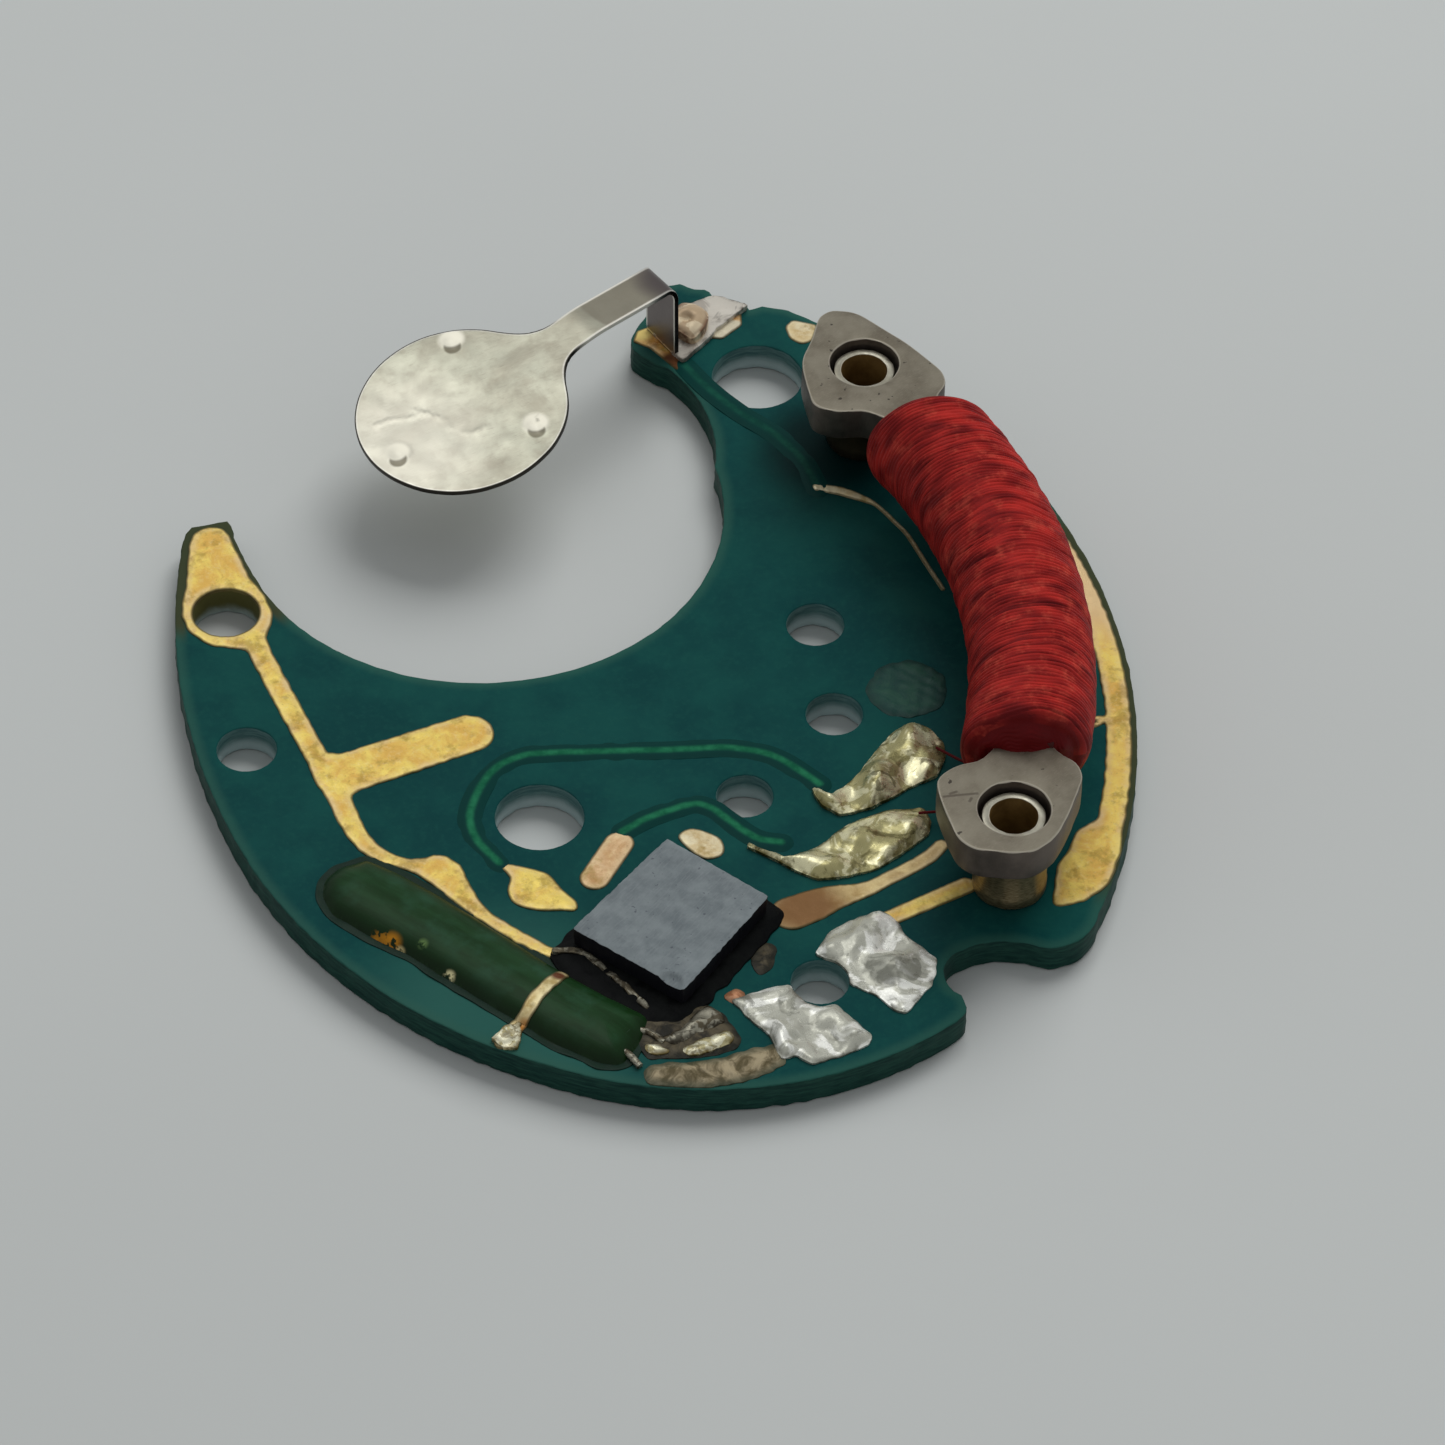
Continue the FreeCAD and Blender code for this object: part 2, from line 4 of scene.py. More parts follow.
import bpy
import numpy as np
from mathutils import Matrix, Vector


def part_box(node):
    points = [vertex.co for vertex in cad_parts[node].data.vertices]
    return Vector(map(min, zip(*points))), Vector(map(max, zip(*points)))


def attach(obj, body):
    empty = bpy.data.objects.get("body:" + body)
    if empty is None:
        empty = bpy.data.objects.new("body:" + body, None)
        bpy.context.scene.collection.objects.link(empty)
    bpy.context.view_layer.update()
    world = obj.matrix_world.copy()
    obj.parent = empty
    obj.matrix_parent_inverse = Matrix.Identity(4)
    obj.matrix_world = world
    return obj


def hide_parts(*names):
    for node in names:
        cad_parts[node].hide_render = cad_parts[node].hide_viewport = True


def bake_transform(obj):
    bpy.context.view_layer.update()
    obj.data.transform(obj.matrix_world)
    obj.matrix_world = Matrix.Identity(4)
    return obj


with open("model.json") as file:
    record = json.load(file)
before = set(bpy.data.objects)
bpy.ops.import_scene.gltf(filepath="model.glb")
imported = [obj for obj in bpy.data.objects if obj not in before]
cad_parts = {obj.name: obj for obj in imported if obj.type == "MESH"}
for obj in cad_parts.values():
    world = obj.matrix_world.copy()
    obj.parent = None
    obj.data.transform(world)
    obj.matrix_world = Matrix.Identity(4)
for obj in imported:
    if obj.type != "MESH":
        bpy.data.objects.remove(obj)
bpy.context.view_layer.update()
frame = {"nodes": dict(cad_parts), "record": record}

# Looks of a quartz watch's electronic module, drawn in millimetres in the CAD frame: origin on the
# lower screw tube's axis at the board's underside, +Z up through the component side.

MM = 0.001
TAU = 2 * pi
EDGE_STEPS = 4


def path(text):
    """Points written as pairs of numbers."""
    values = [float(word) for word in text.split()]
    return list(zip(values[::2], values[1::2]))


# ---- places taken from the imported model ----
def heights(node):
    low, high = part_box(node)
    return low[2] / MM, high[2] / MM


def mount(name):
    """A mount's place in plan and its radius."""
    entry = next(item for item in frame["record"]["mounts"] if item["name"] == name)
    x, y, _ = [value / MM for value in entry["pos_m"]]
    return x, y, entry["dims"].get("r_mm")


BOARD_TOP = heights("circuit_board")[1]
TRACK_TOP = heights("rim_track")[1]
PLATE_LOW, PLATE_HIGH = heights("coil_core")
TUBE_TOP = heights("lower_tube")[1]
CHIP_LOW, CHIP_HIGH = heights("chip")
CAN_TOP = heights("crystal_can")[1]

TUBES = [mount(name)[:2] for name in ("lower_tube_bore", "upper_tube_bore")]
TUBE_BORE_R = mount("lower_tube_bore")[2]
TUBE_NECK_R = 0.625
TUBE_BODY_R = 0.72
PLATE_HOLE_R = 0.7
HOLES = {name: mount(name + "_hole") for name in (
    "dial_pin", "plate_pin", "horn", "side", "pivot_upper", "pivot_lower", "pivot_chip", "probe")}

MID_Y = (TUBES[0][1] + TUBES[1][1]) / 2
COIL_R = 11.83
COIL_CENTRE = (-sqrt(COIL_R ** 2 - MID_Y ** 2), MID_Y)
TUBE_TURN = asin(MID_Y / COIL_R)
COIL_Z = (PLATE_LOW + PLATE_HIGH) / 2
WINDING_ARC_R = 11.58
WINDING_R = 1.25
WINDING_ENDS = (radians(-24.0), radians(22.3))
WINDING_SLANT = (radians(1.2), radians(-2.0))
PLATE_SCRATCHES = path("-1.26 .56 -.6 .52 -1.12 .61 -.98 .64 -.8 .34 -.74 .42 -.6 14.35 -.42 14.52")

CAN_CENTRE = (-10.39, 0.04)
CAN_LENGTH = 6.9
CAN_WIDTH = 1.6
CAN_TURN = radians(-48.3)
# stains on the can's lacquer; the pale spot at (-11.9, 0.5) is a painted glint
CAN_STAINS_AND_GLINT = [((-12.22, 0.86, 0.7), 0.2, (168, 112, 20)), ((-12.02, 0.72, 0.74), 0.22, (196, 130, 26)),
              ((-11.9, 0.5, 0.7), 0.12, (236, 214, 150)), ((-11.08, -0.34, 0.72), 0.13, (240, 230, 176)),
              ((-11.45, 0.45, 0.9), 0.12, (96, 124, 70))]
CHIP_TURN = radians(41.3)

# sprung contact: foot, riser, fold, arm, bend and disc
SPRING_T = 0.1
ARM_WIDTH = 0.88
RISER_WIDTH = 1.06
DISC_R = 2.19
FOLD = Vector((-3.37, 16.48, 2.36))
BEND = Vector((-5.27, 15.25, 2.56))
DISC_CENTRE = Vector((-8.16, 13.64, 2.07))
RISER_FOOT = Vector((-3.38, 16.31, TRACK_TOP + 0.02))
PIPS = path("-8.02 15.5 -6.8 12.78 -9.64 12.84")
DISC_CREASES = [path(text) for text in (
    "-9.95 13.72 -9.6 13.8 -9.29 13.72 -8.93 13.8", "-8.25 13.02 -8.05 12.94 -7.76 13.04",
    "-9.15 13.95 -8.62 13.52 -8.48 13.2")]


def on_can(along, across):
    """A place in plan measured from the can's middle."""
    c, s = cos(CAN_TURN), sin(CAN_TURN)
    return CAN_CENTRE[0] + c * along - s * across, CAN_CENTRE[1] + s * along + c * across


def disc_height(x, y):
    """Height of the tilted disc's middle plane."""
    run = DISC_CENTRE - BEND
    along = (x - DISC_CENTRE.x) * run.x + (y - DISC_CENTRE.y) * run.y
    return DISC_CENTRE.z + along * run.z / (run.x ** 2 + run.y ** 2)


# ---- flat regions as signed distances ----
def waves(x, y, size, seed, count=12):
    """Smooth unevenness between about -1 and 1, with features of the given size."""
    rng = np.random.default_rng(seed)
    total = 0.0
    for _ in range(count):
        turn = rng.uniform(0, TAU)
        pitch = TAU / size * rng.uniform(0.6, 1.5)
        total = total + np.sin(pitch * (x * cos(turn) + y * sin(turn)) + rng.uniform(0, TAU))
    return total / sqrt(count)


class Region:
    """A flat region: distance(x, y) is negative inside, and box holds the whole of it."""

    def __init__(self, distance, box):
        self.distance, self.box = distance, box

    def joined(self, other, fillet=0.0):
        """Both regions, with the corners between them filled to about the fillet size."""
        def distance(x, y):
            a, b = self.distance(x, y), other.distance(x, y)
            near = np.clip(fillet - np.abs(a - b), 0, None) / (fillet or 1)
            return np.minimum(a, b) - near * near * fillet / 4
        pairs = list(zip(self.box, other.box))
        return Region(distance, [min(pair) for pair in pairs[:2]] + [max(pair) for pair in pairs[2:]])

    def without(self, other):
        return Region(lambda x, y: np.maximum(self.distance(x, y), -other.distance(x, y)), self.box)

    def within(self, other):
        return Region(lambda x, y: np.maximum(self.distance(x, y), other.distance(x, y)), self.box)

    def grown(self, by):
        box = [edge + by * sign for edge, sign in zip(self.box, (-1, -1, 1, 1))]
        return Region(lambda x, y: self.distance(x, y) - by, box)

    def wobbled(self, amount, size, seed):
        """The same region with an uneven edge."""
        return Region(lambda x, y: self.distance(x, y) + amount * waves(x, y, size, seed),
                      self.grown(amount).box)

    def slope(self, x, y, step=1e-3):
        """Unit vector pointing straight out of the region at each point."""
        dx = self.distance(x + step, y) - self.distance(x - step, y)
        dy = self.distance(x, y + step) - self.distance(x, y - step)
        size = np.maximum(np.hypot(dx, dy), 1e-9)
        return dx / size, dy / size


def hull(points, reach=0.0):
    xs, ys = zip(*points)
    return [min(xs) - reach, min(ys) - reach, max(xs) + reach, max(ys) + reach]


def round_region(centre, radius):
    return Region(lambda x, y: np.hypot(x - centre[0], y - centre[1]) - radius, hull([centre], radius))


def from_segment(x, y, start, end):
    """Share of the way along a segment nearest to each point, and the gap from it."""
    (ax, ay), (bx, by) = start, end
    ex, ey = bx - ax, by - ay
    share = np.clip(((x - ax) * ex + (y - ay) * ey) / max(ex * ex + ey * ey, 1e-12), 0, 1)
    return share, np.hypot(x - ax - ex * share, y - ay - ey * share)


def strip(points, widths):
    """A round-ended strip along a line of points, with one width or a width at each point."""
    halves = np.broadcast_to(np.asarray(widths) / 2, len(points))

    def distance(x, y):
        best = np.full(np.shape(x), 1e9)
        for a, b, ra, rb in zip(points, points[1:], halves, halves[1:]):
            share, gap = from_segment(x, y, a, b)
            best = np.minimum(best, gap - ra - (rb - ra) * share)
        return best
    return Region(distance, hull(points, max(halves)))


def polygon(points):
    ring = [tuple(point) for point in points]

    def distance(x, y):
        best = np.full(np.shape(x), 1e9)
        inside = np.zeros(np.shape(x), bool)
        for (ax, ay), (bx, by) in zip(ring, ring[1:] + ring[:1]):
            best = np.minimum(best, from_segment(x, y, (ax, ay), (bx, by))[1])
            if ay != by:
                inside ^= ((ay > y) != (by > y)) & (x < (bx - ax) * (y - ay) / (by - ay) + ax)
        return np.where(inside, -best, best)
    return Region(distance, hull(ring))


def corner_curve(start, corner, end, steps):
    """Points on the curve that rounds a corner."""
    shares = [k / steps for k in range(steps + 1)]
    return [start * (1 - t) ** 2 + corner * 2 * t * (1 - t) + end * t * t for t in shares]


def rounded(points, radius, steps=5):
    """A polygon with its corners rounded."""
    ring = [Vector(point) for point in points]
    out = []
    for i, corner in enumerate(ring):
        back, ahead = ring[i - 1] - corner, ring[(i + 1) % len(ring)] - corner
        reach = min(radius, 0.45 * back.length, 0.45 * ahead.length)
        start, end = corner + back.normalized() * reach, corner + ahead.normalized() * reach
        out += corner_curve(start, corner, end, steps)
    return polygon(out)


def arc(start, middle, end, step=0.12):
    """Points on the circle through three points, without the last one."""
    a, b, c = complex(*start), complex(*middle), complex(*end)
    w = (c - a) / (b - a)
    centre = a + (b - a) * (w - abs(w) ** 2) / (2j * w.imag)
    first, mid, last = [atan2((p - centre).imag, (p - centre).real) for p in (a, b, c)]
    radius = abs(a - centre)
    turn = (last - first) % TAU
    if (mid - first) % TAU > turn:
        turn -= TAU
    count = max(3, int(abs(turn) * radius / step))
    return [(centre.real + radius * cos(first + turn * k / count),
             centre.imag + radius * sin(first + turn * k / count)) for k in range(count)]


def smooth(points, steps=6, closed=False):
    """A Catmull-Rom curve through the points."""
    line = [Vector(point) for point in points]
    if closed:
        guides = [line[-1], *line, line[0], line[1]]
    else:
        guides = [line[0] * 2 - line[1], *line, line[-1] * 2 - line[-2]]
    out = []
    for a, b, c, d in zip(guides, guides[1:], guides[2:], guides[3:]):
        for t in [k / steps for k in range(steps)]:
            out.append(0.5 * (2 * b + (c - a) * t + (2 * a - 5 * b + 4 * c - d) * t * t
                              + (3 * b - a - 3 * c + d) * t ** 3))
    return out if closed else out + [line[-1]]


def loop(points, steps=6):
    return polygon(smooth(points, steps, True))


# ---- meshes ----
def add(name, data):
    made = bpy.data.objects.new(name, data)
    bpy.context.scene.collection.objects.link(made)
    return made


def solid(name, points, faces, sharp_deg=42, attributes=None):
    """A smooth-shaded mesh object from points in millimetres."""
    mesh = bpy.data.meshes.new(name)
    mesh.from_pydata((np.asarray(points, float) * MM).tolist(), [], faces)
    for key, values in (attributes or {}).items():
        layer = mesh.attributes.new(key, "FLOAT", "POINT")
        layer.data.foreach_set("value", np.asarray(values, np.float32))
    mesh.shade_smooth()
    mesh.set_sharp_from_angle(angle=radians(sharp_deg))
    mesh.update()
    return add(name, mesh)


def fill(region, cell, inset):
    """Even triangles covering the region's inside, inset from its edge."""
    low_x, low_y, high_x, high_y = region.box
    xs = np.arange(low_x - cell, high_x + 2 * cell, cell)
    ys = np.arange(low_y - cell, high_y + 2 * cell, cell)
    x, y = [grid.ravel() for grid in np.meshgrid(xs, ys, indexing="ij")]
    value = region.distance(x, y) + inset
    near = np.abs(value) < 0.3 * cell
    out_x, out_y = region.slope(x[near], y[near])
    x[near] -= value[near] * out_x
    y[near] -= value[near] * out_y
    value[near] = 0.0

    rows = len(ys)
    i, j = np.meshgrid(np.arange(len(xs) - 1), np.arange(rows - 1), indexing="ij")
    a = (i * rows + j).ravel()
    b, c, d = a + rows, a + rows + 1, a + 1
    odd = ((i + j) % 2 == 1).ravel()[:, None]
    first = np.where(odd, np.stack([a, b, d], 1), np.stack([a, b, c], 1))
    second = np.where(odd, np.stack([b, c, d], 1), np.stack([a, c, d], 1))
    cells = np.concatenate([first, second])
    some_in = (value[cells] < 0).any(1)
    some_out = (value[cells] > 0).any(1)
    triangles = cells[some_in & ~some_out].tolist()

    points = list(zip(x.tolist(), y.tolist()))
    cut_points = {}
    for corners in cells[some_in & some_out].tolist():
        shape = []
        for p, q in zip(corners, corners[1:] + corners[:1]):
            if value[p] <= 0:
                shape.append(p)
            if value[p] * value[q] < 0:
                key = (min(p, q), max(p, q))
                if key not in cut_points:
                    t = value[p] / (value[p] - value[q])
                    cut_points[key] = len(points)
                    points.append((x[p] + (x[q] - x[p]) * t, y[p] + (y[q] - y[p]) * t))
                shape.append(cut_points[key])
        triangles += [[shape[0], shape[k], shape[k + 1]] for k in range(1, len(shape) - 1)]

    triangles = np.array(triangles)
    used, inverse = np.unique(triangles, return_inverse=True)
    return *np.array(points)[used].T, inverse.reshape(-1, 3)


def relief(name, region, cell, bottom, top, bevel=0.015, low_bevel=0.0, rough=0.0, place=None,
           walls=1, sharp_deg=42, outer=None):
    """A closed body on a region: shaped top, rounded upper edge, wall and bottom.

    top and bottom are heights, or functions of x, y and the distance in from the edge.
    outer is a region whose own edge distance is stored as well.
    """
    x, y, triangles = fill(region, cell, bevel)
    count = len(x)
    depth = np.maximum(-region.distance(x, y), 0)
    high, low = [level(x, y, depth) if callable(level) else np.full(count, float(level))
                 for level in (top, bottom)]
    edges = np.concatenate([triangles[:, [0, 1]], triangles[:, [1, 2]], triangles[:, [2, 0]]])
    rim = edges[~np.isin(edges @ (count, 1), edges @ (1, count))]
    ids = np.unique(rim)
    rim_order = np.searchsorted(ids, rim)
    out_x, out_y = region.slope(x[ids], y[ids])
    rim_x, rim_y, rim_high = x[ids], y[ids], high[ids]

    turns = [pi / 2 * step / EDGE_STEPS for step in range(1, EDGE_STEPS + 1)]
    wall_high, wall_low = rim_high - bevel, low[ids] + low_bevel
    layers = [(bevel * sin(t), rim_high - bevel * (1 - cos(t))) for t in turns]
    for share in [step / walls for step in range(1, walls + 1)]:
        layers.append((bevel, wall_high * (1 - share) + wall_low * share))
    if low_bevel:
        layers += [(bevel - low_bevel * (1 - cos(t)), wall_low - low_bevel * sin(t)) for t in turns]

    rows = [(x, y, high, depth)]
    for outward, level in layers:
        shift = outward
        if rough:
            shift = outward + rough * (waves(rim_x * 3, rim_y * 3 + level * 5, 1.0, 3) - 1)
            shift = np.where(level < rim_high - bevel * 0.5, shift, outward)
        edge = np.full(len(ids), max(bevel - outward, 0.0))
        rows.append((rim_x + out_x * shift, rim_y + out_y * shift, level, edge))
    rows.append((x, y, low, depth))

    faces = triangles.tolist()
    previous = rim
    for layer in range(len(layers)):
        current = rim_order + count + layer * len(ids)
        faces += np.stack([previous[:, 0], current[:, 0], current[:, 1], previous[:, 1]], 1).tolist()
        previous = current
    under = np.arange(count) + count + len(layers) * len(ids)
    under[ids] = count + (len(layers) - 1) * len(ids) + np.arange(len(ids))
    faces += under[triangles][:, ::-1].tolist()

    used, inverse = np.unique(np.concatenate(faces), return_inverse=True)
    faces = [part.tolist() for part in np.split(inverse, np.cumsum([len(face) for face in faces])[:-1])]
    x, y, z, edge = [np.concatenate(column)[used] for column in zip(*rows)]
    attributes = {"edge": edge}
    if outer is not None:
        attributes["rim"] = np.maximum(-outer.distance(x, y), 0)
    points = place(x, y, z) if place else (x, y, z)
    return solid(name, np.stack(points, 1), faces, sharp_deg, attributes)


def lathe(name, profile, centre, marks, segments=96):
    """A ring turned from a closed profile of (radius, height) points, each with a mark value."""
    count = len(profile)
    angles = np.arange(segments)[:, None] * TAU / segments
    radii, levels = np.array(profile).T
    wobble = 1 + 0.008 * waves(np.cos(angles) * 2, np.sin(angles) * 2 + levels * 0.6, 1.0, 5)
    x = centre[0] + np.cos(angles) * radii * wobble
    y = centre[1] + np.sin(angles) * radii * wobble
    points = np.stack([x.ravel(), y.ravel(), np.tile(levels, segments)], 1)
    ids = np.arange(segments * count).reshape(segments, count)
    after = np.roll(ids, -1, 0)
    faces = np.stack([ids, after, np.roll(after, -1, 1), np.roll(ids, -1, 1)], -1).reshape(-1, 4)
    return solid(name, points, faces.tolist(), 35, {"edge": np.tile(marks, segments)})


# ---- node materials ----
def linear(rgb):
    """A display colour, 0 to 255, as linear values."""
    shares = [value / 255 for value in rgb]
    return (*[v / 12.92 if v <= 0.04045 else ((v + 0.055) / 1.055) ** 2.4 for v in shares], 1.0)


class Paint:
    """Builds one procedural material; places are in object space, in millimetres."""

    def __init__(self, name):
        self.material = bpy.data.materials.new(name)
        self.material.use_nodes = True
        self.tree = self.material.node_tree
        self.tree.nodes.clear()
        self.place = self.node("VectorMath", self.node("TexCoord").outputs["Object"], operation="SCALE",
                               Scale=1 / MM).outputs[0]
        self.edge = self.value("edge")
        self.colour = self.normal = None

    def node(self, kind, *plugs, **details):
        """A new node: plugs feed its first inputs, capitalised details its named ones."""
        made = self.tree.nodes.new("ShaderNode" + kind)
        for key, value in details.items():
            if key[0].islower():
                setattr(made, key, value)
        named = [(key.replace("_", " "), value) for key, value in details.items() if key[0].isupper()]
        for key, value in [*enumerate(plugs), *named]:
            if isinstance(value, bpy.types.NodeSocket):
                self.tree.links.new(value, made.inputs[key])
            elif value is not None:
                made.inputs[key].default_value = value
        return made

    def value(self, name):
        return self.node("Attribute", attribute_name=name).outputs["Fac"]

    def noise(self, size, detail=4, rough=0.6, warp=0.0, stretch=None, turn=0.0):
        """Cloudy pattern, which stretch draws out along axes turned in plan."""
        place = self.place
        if stretch:
            place = self.node("Mapping", place, vector_type="TEXTURE", Scale=stretch,
                              Rotation=(0, 0, turn)).outputs[0]
        return self.node("TexNoise", place, Scale=1 / size, Detail=detail, Roughness=rough,
                         Distortion=warp).outputs["Fac"]

    def math(self, operation, a, b=0.0):
        return self.node("Math", a, b, operation=operation).outputs[0]

    def times(self, a, b):
        return self.math("MULTIPLY", a, b)

    def ramp(self, value, low=0.3, high=0.7, start=0.0, end=1.0):
        return self.node("MapRange", value, low, high, start, end,
                         interpolation_type="SMOOTHSTEP").outputs["Result"]

    def fade(self, value, low, high):
        return self.ramp(value, low, high, 1.0, 0.0)

    def upright(self, vector):
        return self.node("SeparateXYZ", vector).outputs["Z"]

    def side(self, low, high):
        """1 on walls and 0 where the surface faces up."""
        return self.fade(self.upright(self.node("NewGeometry").outputs["Normal"]), low, high)

    def near(self, place, radius, soft):
        """1 within the radius of a point and 0 beyond a soft edge."""
        gap = self.node("VectorMath", self.place, place, operation="DISTANCE").outputs["Value"]
        return self.fade(gap, radius, radius + soft)

    def scratch(self, start, end, width):
        """1 on a straight line between two points in plan."""
        start, end = Vector(start), Vector(end)
        run = end - start
        offset = self.node("VectorMath", self.place, start, operation="SUBTRACT").outputs[0]
        across = Vector((-run.y, run.x, 0)).normalized()
        gap = self.node("VectorMath", offset, across, operation="DOT_PRODUCT").outputs["Value"]
        line = self.fade(self.math("ABSOLUTE", gap), width * 0.4, width)
        return self.times(line, self.near((start + end) / 2, run.length / 2, width))

    def mix(self, share, a, b):
        a, b = [shade if isinstance(shade, bpy.types.NodeSocket) else linear(shade) for shade in (a, b)]
        return self.node("Mix", data_type="RGBA", Factor=share, A=a, B=b).outputs["Result"]

    def base(self, pattern, low_shade, high_shade, low=0.3, high=0.7):
        self.colour = self.mix(self.ramp(pattern, low, high), low_shade, high_shade)

    def over(self, share, shade, strength=1.0):
        """Lays a shade over the colour so far."""
        share = share if strength == 1.0 else self.times(share, strength)
        self.colour = self.mix(share, self.colour, shade)

    def bump(self, height, depth, strength=0.5):
        """Adds a height map's relief; depth is its full height in millimetres."""
        self.normal = self.node("Bump", Strength=strength, Distance=depth * MM, Height=height,
                                Normal=self.normal).outputs[0]

    def done(self, roughness, metallic=0.0, **extra):
        shader = self.node("BsdfPrincipled", Base_Color=self.colour, Roughness=roughness,
                           Metallic=metallic, Normal=self.normal, **extra)
        self.node("OutputMaterial", shader.outputs[0])
        return self.material


def lacquer_material():
    """Teal-green solder lacquer over glass laminate, paler at the rim and olive by the plating."""
    p = Paint("board_lacquer")
    mottle, fine = p.noise(1.6, 5), p.noise(0.12, 3)
    rim = p.value("rim")
    p.base(mottle, (6, 60, 60), (16, 72, 68), 0.35)
    p.over(p.ramp(fine, 0.45, 0.75), (24, 80, 72), 0.3)
    p.over(p.near((-10.2, -1.6, BOARD_TOP), 1.2, 2.6), (40, 88, 80))
    p.over(p.fade(rim, 0.05, 0.3), (46, 90, 78), 0.6)
    by_plating = p.math("ADD", p.near((-13.6, 11.4, BOARD_TOP), 1.6, 0.6),
                        p.near((2.6, 4.6, BOARD_TOP), 4.6, 1.2))
    p.over(p.times(by_plating, p.fade(rim, 0.15, 0.3)), (62, 62, 36), 0.85)
    # painted shadow on the board under the upper end plate
    p.over(p.near((-0.75, 12.5, BOARD_TOP), 0.7, 1.3), (0, 22, 22), 0.8)
    layers = p.ramp(p.noise(0.5, 4, 0.7, stretch=(1, 1, 0.11)))
    bored = p.mix(layers, (62, 98, 98), (96, 128, 126))
    bored = p.mix(p.fade(p.upright(p.place), 0.1, 0.42), bored, (176, 192, 192))
    bored = p.mix(p.near((*HOLES["horn"][:2], BOARD_TOP), 0.75, 0.2), bored, (92, 90, 50))
    laminate = p.mix(layers, (14, 48, 44), (36, 74, 64))
    p.over(p.side(0.2, 0.75), p.mix(p.ramp(rim, 0.12, 0.2), laminate, bored))
    p.bump(p.noise(0.5, 3, 0.5), 0.012)
    p.bump(fine, 0.006)
    return p.done(p.ramp(mottle, start=0.42, end=0.56), Specular_IOR_Level=0.08)


def covered_material(name, low, high):
    """Copper seen through green lacquer: brighter along the trace's middle."""
    p = Paint(name)
    streak = p.noise(0.25)
    p.colour = p.mix(p.ramp(p.edge, 0.13, 0.23), (6, 54, 50), p.mix(p.ramp(streak), low, high))
    p.bump(streak, 0.008)
    return p.done(0.5, Specular_IOR_Level=0.08)


def gold_material(name, light, dark, roughness=0.42, zones=()):
    """Matte plating: grain, stains, a pale border and a dark line where the lacquer meets it."""
    p = Paint(name)
    cloud, grain = p.noise(0.7, 5, 0.65, 0.6), p.noise(0.09, 4, 0.7)
    p.base(cloud, dark, light, 0.36, 0.64)
    border = p.times(p.fade(p.edge, 0.06, 0.2), p.ramp(cloud, 0.3, 0.6, 1.0, 0.3))
    p.over(border, (244, 226, 182), 0.6)
    p.over(p.ramp(p.noise(0.4), 0.5, 0.68), (168, 136, 56), 0.6)
    p.over(p.ramp(grain, 0.5, 0.72), (250, 232, 176), 0.35)
    p.over(p.fade(grain, 0.28, 0.42), (140, 108, 50), 0.3)
    for place, radius, soft, shade in zones:
        p.over(p.near(place, radius, soft), shade)
    p.over(p.fade(p.edge, 0.012, 0.06), (66, 60, 28), 0.85)
    p.bump(grain, 0.016)
    p.bump(cloud, 0.03, 0.3)
    return p.done(p.ramp(cloud, start=roughness + 0.1, end=roughness - 0.04), 0.5)


def solder_material(name, bright, shade, flux, roughness, size, metal=0.75):
    """Reflowed solder: bright facets and darker hollows painted as highlight and shade, and flux along the
    edge.
    """
    p = Paint(name)
    fine = p.noise(0.09, 3, 0.55)
    # bright and dark patches: painted facet highlights and painted shade
    p.base(p.noise(size, 4, 0.55, 1.2), shade, bright, 0.46, 0.53)
    p.over(p.ramp(p.noise(size * 0.7, warp=0.8), 0.54, 0.62), flux, 0.65)
    p.over(p.times(p.fade(p.edge, 0.0, 0.1), p.ramp(p.noise(0.3, 3), 0.4, 0.6)), flux)
    p.bump(p.noise(0.4, 2, 0.5, 0.8), 0.03, 0.4)
    p.bump(fine, 0.008, 0.4)
    return p.done(p.ramp(fine, start=roughness - 0.06, end=roughness + 0.1), metal)


def wire_material():
    """Red enamelled wire, with painted shade between the turns and on the winding's ends, and random patches
    of painted highlight.
    """
    p = Paint("wire_enamel")
    tone, cloud = p.value("tone"), p.noise(0.5, 5, 0.7)
    # tone is lowered on the winding's rounded ends and caps as painted shade
    p.base(tone, (100, 12, 15), (176, 42, 36), -0.1, 1.1)
    # random patches painted lighter as highlights on the enamel
    p.over(p.times(p.ramp(cloud, 0.5), p.ramp(tone, 0.0, 0.35)), (208, 84, 66), 0.45)
    # painted shade in the grooves between the turns
    p.over(p.fade(p.value("turn"), 0.0, 0.6), (60, 4, 8), 0.6)
    p.bump(p.noise(0.05, 2, 0.5), 0.01, 0.6)
    return p.done(p.ramp(cloud, start=0.44, end=0.6), Specular_IOR_Level=0.12)


def alloy_material():
    """Ground soft-magnetic alloy: grey, faint streaks, dark nicks and a paler top edge."""
    p = Paint("core_alloy")
    cloud, streak = p.noise(0.8, 5), p.noise(0.12, 3, stretch=(1, 0.14, 1), turn=0.5)
    p.base(cloud, (124, 116, 100), (152, 145, 128))
    p.over(p.ramp(streak, 0.5, 0.75), (172, 164, 150), 0.4)
    p.over(p.ramp(p.noise(0.16, 2, 0.5), 0.69, 0.73), (46, 38, 34), 0.8)
    for start, end in zip(PLATE_SCRATCHES[::2], PLATE_SCRATCHES[1::2]):
        p.over(p.scratch((*start, PLATE_HIGH), (*end, PLATE_HIGH), 0.04), (58, 44, 40), 0.5)
    # paler towards the top edge
    p.over(p.fade(p.edge, 0.005, 0.05), (214, 206, 188), 0.75)
    # walls painted darker than the top: painted shade
    p.over(p.side(0.15, 0.6), p.mix(p.ramp(cloud), (76, 68, 62), (104, 94, 86)))
    p.bump(streak, 0.008)
    return p.done(p.ramp(cloud, start=0.36, end=0.5), 0.7)


